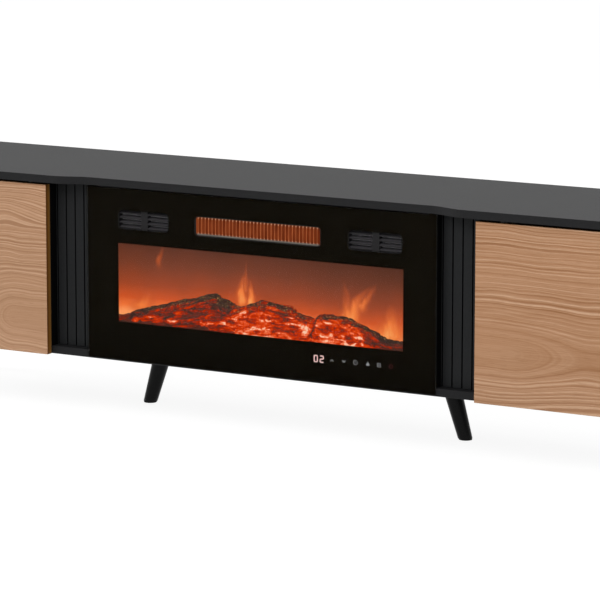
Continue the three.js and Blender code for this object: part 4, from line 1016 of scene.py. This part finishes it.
def ridge_shares(verts):
    """How far up the heap each point lies, from the bed at 0 to the heap's top near it at 1."""
    low_x = min(vert.co.x for vert in verts)
    high_x = max(vert.co.x for vert in verts)
    bins = [int((vert.co.x - low_x) / (high_x - low_x) * RIDGE_BINS) for vert in verts]
    heights = [vert.co.z - bed_z(vert.co.y) for vert in verts]
    tops = [LEAST_RIDGE] * (RIDGE_BINS + 1)
    for i, height in zip(bins, heights):
        tops[i] = max(tops[i], height)
    return [clamped(height / tops[i]) for i, height in zip(bins, heights)]


def eased(value, middle, width):
    """From 0 to 1 as value passes the middle."""
    return 0.5 + 0.5 * tanh((value - middle) / width)


def streak_heat(point):
    """How much the streaks of fire add at a point; the dark gaps, a painted shade, take away."""
    x = point.x + STREAK_WANDER[0] * noise.noise(point * 55)
    z = point.z + STREAK_WANDER[1] * noise.noise(point * 55 + Vector((9, 2, 5)))
    total = 0.0
    for (x0, z0), (x1, z1), width, heat in STREAKS:
        run_x, run_z = x1 - x0, z1 - z0
        share = clamped(((x - x0) * run_x + (z - z0) * run_z) / (run_x * run_x + run_z * run_z))
        off = hypot(x - x0 - share * run_x, z - z0 - share * run_z) / width
        total += heat * exp(-off * off)
    return total


def log_warmth(point, normal, above, index, run, girth):
    """How hot a point of the heap is: red low down and in the middle, charred on its ridges."""
    cold_end = eased(point.x, *COOL_RIGHT)
    lit = eased(point.x, *COOL_LEFT) * (1 - cold_end)
    streak = noise.fractal(Vector((run * 24 + index * 5, girth * 130, index * 2.2)), 0.9, 2.1, 4)
    patch = noise.fractal(point * 24 + Vector((4, 1, 7)), 1.0, 2.0, 3)
    foot = max(0.0, 0.34 - above) / 0.34
    crest = eased(above, 0.92, 0.045)
    warmth = 0.38 + 0.20 * lit - 0.36 * crest - 0.08 * (1 - lit) * above - 0.24 * cold_end
    warmth += (0.03 + 0.15 * lit) * foot - 0.14 * max(0.0, normal.z - 0.35)
    warmth += 0.38 * streak + 0.24 * patch + 0.86 * streak_heat(point)
    return clamped(warmth)


def add_logs():
    axes = log_axes()
    bm = bmesh.new()
    for seed, axis in enumerate(axes):
        add_log(bm, *axis, seed * 3.1)
    bmesh.ops.recalc_face_normals(bm, faces=bm.faces)
    bm = remeshed(bm, LOG_VOXEL)
    bm.normal_update()
    moves, marks = [], []
    for vert, above in zip(bm.verts, ridge_shares(bm.verts)):
        index, run, angle, radius = nearest_log(vert.co, axes)
        girth = angle * radius
        crack = char_crack(index, run, girth)
        bark = noise.fractal(Vector((run * 60, girth * 210, index)), 0.9, 2.1, 4)
        slow = noise.noise(vert.co * 70)
        moves.append(vert.normal * (BARK_HEIGHT * bark + BARK_SWELL * slow - CHECK_DEPTH * crack))
        marks.append((log_warmth(vert.co, vert.normal, above, index, run, girth), crack, above))
    for vert, move in zip(bm.verts, moves):
        vert.co += move
    mark(bm, marks)
    piece = finished("charred_logs", bm, "charred_log", smooth=60)
    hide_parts("log_set")


# Ember bed: a thin lumpy skin over the light board

BED_COLUMNS = 420
BED_ROWS = 34
BED_WALL = 0.0025
BED_SKIN = 0.009
BED_SUNK = 0.003
LUMPS_PER_METRE = 92
LUMP_HEIGHT = 0.0045
GRIT_HEIGHT = 0.0012
BED_COOL_LEFT = (-0.14, 0.06)


def ember_point(x, y, edge):
    """A point of the lumpy crown, how deep it lies in a crack, and its patch of heat."""
    place = Vector((x * LUMPS_PER_METRE, y * LUMPS_PER_METRE, 0.0))
    distances, points = noise.voronoi(place)
    gap = distances[1] - distances[0]
    lump = min(1.0, gap * 2.6) * (0.55 + 0.45 * noise.cell(points[0] * 3.1))
    height = LUMP_HEIGHT * lump + GRIT_HEIGHT * noise.noise(place * 2.3)
    return (x, y, bed_z(y) - BED_SUNK + height * edge), max(0.0, 1 - gap * 3), noise.noise(place * 0.35)


def add_ember_bed():
    low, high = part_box("ember_bed")
    y0, y1 = low.y, high.y
    front, back = y0 + BED_WALL, y1 - BED_WALL
    skirt = ((y1, low.z), (back, low.z), (back, bed_z(y1) - BED_SKIN), (front, bed_z(y0) - BED_SKIN),
             (front, low.z))
    rings, marks = [], []
    for i in range(BED_COLUMNS + 1):
        x = low.x + (high.x - low.x) * i / BED_COLUMNS
        lit = eased(x, *BED_COOL_LEFT) * (1 - eased(x, *COOL_RIGHT))
        ring = [((x, y0, low.z), 0.0, 0.0)]
        for j in range(BED_ROWS + 1):
            edge = min(1.0, 6 * min(j, BED_ROWS - j) / BED_ROWS)
            ring.append(ember_point(x, y0 + (y1 - y0) * j / BED_ROWS, edge))
        ring += [((x, y, z), 0.0, 0.0) for y, z in skirt]
        rings.append([point for point, crack, patch in ring])
        for point, crack, patch in ring:
            marks.append((clamped(0.12 + 0.42 * lit + 0.3 * patch + 0.15 * crack), crack, 0.0))
    bm = bmesh.new()
    add_loft(bm, rings)
    mark(bm, marks)
    piece = finished("glowing_embers", bm, "ember_resin", smooth=50)
    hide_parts("ember_bed")


# Heater: copper fins behind the bezel, and a pleated foil that hides the element

FIN_COUNT = 36
FIN_REACH_X = 0.1602
FIN_RADIUS = 0.0010
FIN_SIDES = 10
FIN_Y = -0.191
FIN_Z = (0.4524, 0.4936)
FIN_STEPS = 12
FIN_TURN = 0.0035
FIN_BEND = 0.0012
FIN_SWELL = 0.35
FOIL_Y = (-0.1886, -0.1852)
FOIL_THICK = 0.0003
FOIL_PLEATS = 72
FOIL_REACH_X = 0.1612
RAIL_Y = (-0.1972, -0.1924)
RAIL_Z = (0.4524, 0.4548)
RAIL_ROUND = 0.0006


def add_grille():
    """Round copper fins whose ends turn in towards the bezel."""
    bm = bmesh.new()
    z0, z1 = FIN_Z
    for i in range(FIN_COUNT):
        x = -FIN_REACH_X + 2 * FIN_REACH_X * i / (FIN_COUNT - 1)
        rings = []
        for j in range(FIN_STEPS + 1):
            z = z0 + (z1 - z0) * (j / FIN_STEPS)
            turn = max(0.0, 1 - min(z - z0, z1 - z) / FIN_TURN)
            centre = Vector((x, FIN_Y + FIN_BEND * turn * turn, z))
            rings.append(ellipse(centre, Vector((1, 0, 0)), Vector((0, 1, 0)),
                                 FIN_RADIUS * (1 + FIN_SWELL * turn), FIN_RADIUS, FIN_SIDES))
        add_loft(bm, rings)
    piece = finished("copper_fins", bm, "copper", smooth=50)
    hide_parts("heater_grille")


def add_rail():
    """The rounded grey rail along the mouth's sill that holds the fins' feet."""
    (y0, y1), (z0, z1) = RAIL_Y, RAIL_Z
    bm = bmesh.new()
    rings = []
    for x in (-FOIL_REACH_X, -FOIL_REACH_X + RAIL_ROUND, FOIL_REACH_X - RAIL_ROUND, FOIL_REACH_X):
        inset = RAIL_ROUND if abs(x) == FOIL_REACH_X else 0.0
        top = z1 - inset
        section = ((y1, z0), (y0, z0), (y0, top - RAIL_ROUND), (y0 + RAIL_ROUND, top), (y1, top))
        rings.append([Vector((x, y, z)) for y, z in section])
    add_loft(bm, rings)
    finished("fin_rail", bm, "louvre_plastic", RAIL_GREY)


def add_foil():
    """A pleated metal foil across the mouth, behind the fins, with the heater's glow painted on it as its
    own glow.
    """
    bm = bmesh.new()
    folds = range(2 * FOIL_PLEATS + 1)
    front = [(-FOIL_REACH_X + FOIL_REACH_X * i / FOIL_PLEATS, FOIL_Y[i % 2]) for i in folds]
    outline = front + [(x, y + FOIL_THICK) for x, y in reversed(front)]
    for ring in add_skin(bm, [[(x, y, z) for x, y in outline] for z in FIN_Z]):
        for i in folds[:-1]:
            bm.faces.new((ring[i], ring[i + 1], ring[-2 - i], ring[-1 - i]))
    finished("pleated_foil", bm, "copper", FOIL_PAINTED_GLOW)


# Filter pads behind the side vents

PAD_CELL = 0.0032
PAD_ROUGH = 0.0009
PAD_GRAIN = (300, 40, 300)
FILTER_FRONT_Y = -0.1818
FILTER_BACK_Y = -0.1778


def add_filters():
    """Foam pads that close the back of each louvre to dust."""
    for side in SIGN:
        low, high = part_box(f"{side}_vent_louvre")
        columns = round((high.x - low.x) / PAD_CELL)
        rows = round((high.z - low.z) / PAD_CELL)
        faces = (
            (FILTER_FRONT_Y, PAD_ROUGH, range(rows + 1)),
            (FILTER_BACK_Y, -PAD_ROUGH, range(rows, -1, -1)),
        )
        rings = []
        for i in range(columns + 1):
            x = low.x + (high.x - low.x) * i / columns
            ring = []
            for y, depth, levels in faces:
                for j in levels:
                    z = low.z + (high.z - low.z) * j / rows
                    rough = noise.noise(Vector([at * grain for at, grain in zip((x, y, z), PAD_GRAIN)]))
                    ring.append((x, y + depth * (0.5 + 0.5 * rough), z))
            rings.append(ring)
        bm = bmesh.new()
        add_loft(bm, rings)
        finished(f"{side}_vent_filter", bm, "black_sheet", FILTER_FOAM)


# Display: lit digits and touch symbols behind the glass

SYMBOL_Y = (-0.19836, -0.19814)
SYMBOL_Z = 0.1968
DIGIT_STROKE = 0.0023
DIGIT_WIDTH = 0.0105
DIGIT_HEIGHT = 0.0165
DIGIT_LEFTS = (0.1466, 0.1619)
DIGIT_FOOT = 0.1879
DIGIT_CUT = 0.0016
SYMBOL_STROKE = 0.0010
UP_STROKE = 0.0012
DOWN_STROKE = 0.0018
HAND_STROKE = 0.0006
POWER_STROKE = 0.0011
UP_X, DOWN_X, CLOCK_X, FLAME_X, WAVES_X, POWER_X = 0.1935, 0.2238, 0.2535, 0.2850, 0.3130, 0.3435
WAVE_STEP = 0.0036


def add_ribbon(bm, points, width, closed=False):
    """A flat lit stroke of even width along points given across and up, mitred at its bends."""
    path = [Vector(point) for point in points]
    ways = [(end - start).normalized() for start, end in zip(path, path[1:] + path[:1])]
    normals = [Vector((-way.y, way.x)) for way in ways]
    front, back = SYMBOL_Y
    sections = []
    for i, point in enumerate(path):
        beside = [normals[i - 1], normals[i]]
        if not closed and i in (0, len(path) - 1):
            beside = [normals[0] if i == 0 else normals[i - 1]]
        normal = sum(beside, Vector((0, 0))).normalized()
        reach = normal * (width / 2 / max(0.5, normal.dot(beside[0])))
        left, right = point + reach, point - reach
        sections.append(((left.x, front, left.y), (left.x, back, left.y),
                         (right.x, back, right.y), (right.x, front, right.y)))
    if closed:
        made = add_skin(bm, sections)
        bridge(bm, made[-1], made[0])
    else:
        add_loft(bm, sections)


def add_digits():
    bm = bmesh.new()
    stroke = DIGIT_STROKE / 2
    cut = DIGIT_CUT
    for left, figure in zip(DIGIT_LEFTS, (0, 2)):
        x0, x1 = left + stroke, left + DIGIT_WIDTH - stroke
        z0, z1 = DIGIT_FOOT + stroke, DIGIT_FOOT + DIGIT_HEIGHT - stroke
        middle = (z0 + z1) / 2
        if figure == 0:
            loop = [(x0 + cut, z0), (x1 - cut, z0), (x1, z0 + cut), (x1, z1 - cut), (x1 - cut, z1),
                    (x0 + cut, z1), (x0, z1 - cut), (x0, z0 + cut)]
            add_ribbon(bm, loop, DIGIT_STROKE, closed=True)
        else:
            line = [(x0, z1), (x1 - cut, z1), (x1, z1 - cut), (x1, middle + cut), (x1 - cut, middle),
                    (x0 + cut, middle), (x0, middle - cut), (x0, z0 + cut), (x0 + cut, z0), (x1, z0)]
            add_ribbon(bm, line, DIGIT_STROKE)
    finished("display_digits", bm, "hot_element", DIGIT_LIGHT)


def around(x, *points):
    """Points given from a symbol's middle, as places on the display."""
    return [(x + across, SYMBOL_Z + up) for across, up in points]


def arc(radius, start, end, steps=22, middle=(0.0, 0.0)):
    """Points on a circle from one angle to another, in degrees."""
    angles = [radians(start + (end - start) * i / steps) for i in range(steps + 1)]
    return [(middle[0] + radius * cos(angle), middle[1] + radius * sin(angle)) for angle in angles]


def add_symbols():
    """Up, down, timer, flame and heat signs, and the power sign in its own colour."""
    bm = bmesh.new()
    add_ribbon(bm, around(UP_X, (-0.0044, -0.0034), (0.0, 0.0006), (0.0044, -0.0034)), UP_STROKE)
    add_ribbon(bm, around(DOWN_X, (-0.0040, 0.0018), (0.0, -0.0020), (0.0040, 0.0018)), DOWN_STROKE)
    add_ribbon(bm, around(CLOCK_X, *arc(0.0050, 60, 390)), SYMBOL_STROKE)
    add_ribbon(bm, around(CLOCK_X, (0.0, 0.0024), (0.0, 0.0), (0.0015, 0.0012)), HAND_STROKE)
    right = arc(0.0016, 20, -90, 5, (0.0028, -0.0024))
    left = arc(0.0016, -90, -200, 5, (-0.0028, -0.0024))
    flame = around(FLAME_X, (0.0, 0.0056), (0.0018, 0.0010), *right, *left, (-0.0018, 0.0010))
    add_loft(bm, [[(x, y, z) for x, z in flame] for y in SYMBOL_Y])
    wave = [(0.0008 * sin(pi * i / 6) + 0.0002 * (i - 6), 0.0047 - 0.0008 * i) for i in range(13)]
    for step in (-1, 0, 1):
        add_ribbon(bm, around(WAVES_X + step * WAVE_STEP, *wave), SYMBOL_STROKE)
    finished("touch_symbols", bm, "grey_plastic", SYMBOL_LIGHT)
    bm = bmesh.new()
    add_ribbon(bm, around(POWER_X, *arc(0.0043, 125, 415)), POWER_STROKE)
    add_ribbon(bm, around(POWER_X, (0.0, 0.0055), (0.0, 0.0010)), POWER_STROKE)
    finished("power_symbol", bm, "hot_element", POWER_LIGHT)


# Floor, surroundings and lamps

# The floor's two colours are linear, so they are lists
FLOOR_REACH = 30
FLOOR_CELLS = 8
FLOOR_TINT = [0.8, 0.8, 0.8, 1.0]
FLOOR_SHADE = [0.22, 0.22, 0.22, 1.0]
FLOOR_LIFT = 0.895
WORLD_LEVEL = 0.5
WHITE = (255, 255, 255)


def add_output(n, kind, plain, shown):
    """One look for the light, another for what is seen straight, in a reflection or through glass."""
    path = n.node("LightPath").outputs
    seen_rays = n.math("MAXIMUM", path["Is Camera Ray"], path["Is Glossy Ray"])
    seen_rays = n.math("MAXIMUM", seen_rays, path["Is Transmission Ray"])
    both = n.node("MixShader", {0: seen_rays, 1: plain.outputs[0], 2: shown.outputs[0]})
    n.node(kind, {0: both.outputs[0]})


def floor_finish():
    """Pale floor: white to the camera, a little darker where the stand shades it."""
    material = bpy.data.materials.new("studio_floor")
    n = Nodes(material)
    n.tree.nodes.clear()
    plain = n.node("BsdfDiffuse", {"Color": FLOOR_TINT})
    shade = n.node("BsdfDiffuse", {"Color": FLOOR_SHADE})
    lift = n.node("Emission", {"Strength": FLOOR_LIFT})
    shown = n.node("AddShader", {0: shade.outputs[0], 1: lift.outputs[0]})
    add_output(n, "OutputMaterial", plain, shown)
    return material


def add_floor():
    bm = bmesh.new()
    bmesh.ops.create_grid(bm, x_segments=FLOOR_CELLS, y_segments=FLOOR_CELLS, size=FLOOR_REACH)
    floor = placed("floor", bm)
    floor.data.materials.append(floor_finish())


def set_world():
    world = bpy.data.worlds.new("studio")
    n = Nodes(world)
    n.tree.nodes.clear()
    light = n.node("Background", {"Color": WHITE, "Strength": WORLD_LEVEL})
    backdrop = n.node("Background", {"Color": WHITE})
    add_output(n, "OutputWorld", light, backdrop)
    bpy.context.scene.world = world


# Soft lamps: name, place, the point it faces, width, height and watts
LAMPS = (
    ("front_softbox", (-0.6, -4.2, 3.6), (0, -0.1, 0.3), 4.0, 2.4, 120),
    ("left_softbox", (-5.0, -1.2, 2.2), (0, 0, 0.3), 2.4, 2.4, 60),
    ("right_softbox", (5.2, -1.4, 2.2), (0, 0, 0.3), 2.4, 2.4, 60),
    ("back_softbox", (2.8, 4.2, 3.4), (0, 0, 0.3), 3.0, 2.4, 95),
)


def add_lamps():
    for name, place, target, width, height, watts in LAMPS:
        data = bpy.data.lights.new(name, "AREA")
        data.shape = "RECTANGLE"
        data.size = width
        data.size_y = height
        data.energy = watts
        lamp = bpy.data.objects.new(name, data)
        lamp.location = place
        lamp.rotation_euler = (Vector(target) - Vector(place)).to_track_quat("-Z", "Y").to_euler()
        bpy.context.collection.objects.link(lamp)


bpy.context.scene.view_settings.view_transform = "Standard"
set_camera()
set_world()
add_floor()
add_lamps()
dress_nodes()
add_legs()
add_logs()
add_ember_bed()
add_grille()
add_rail()
add_foil()
add_filters()
add_digits()
add_symbols()
add_hinge_screws()
add_back_screws()
add_latch_screws()
add_shelf_pins()
add_cable_rims()
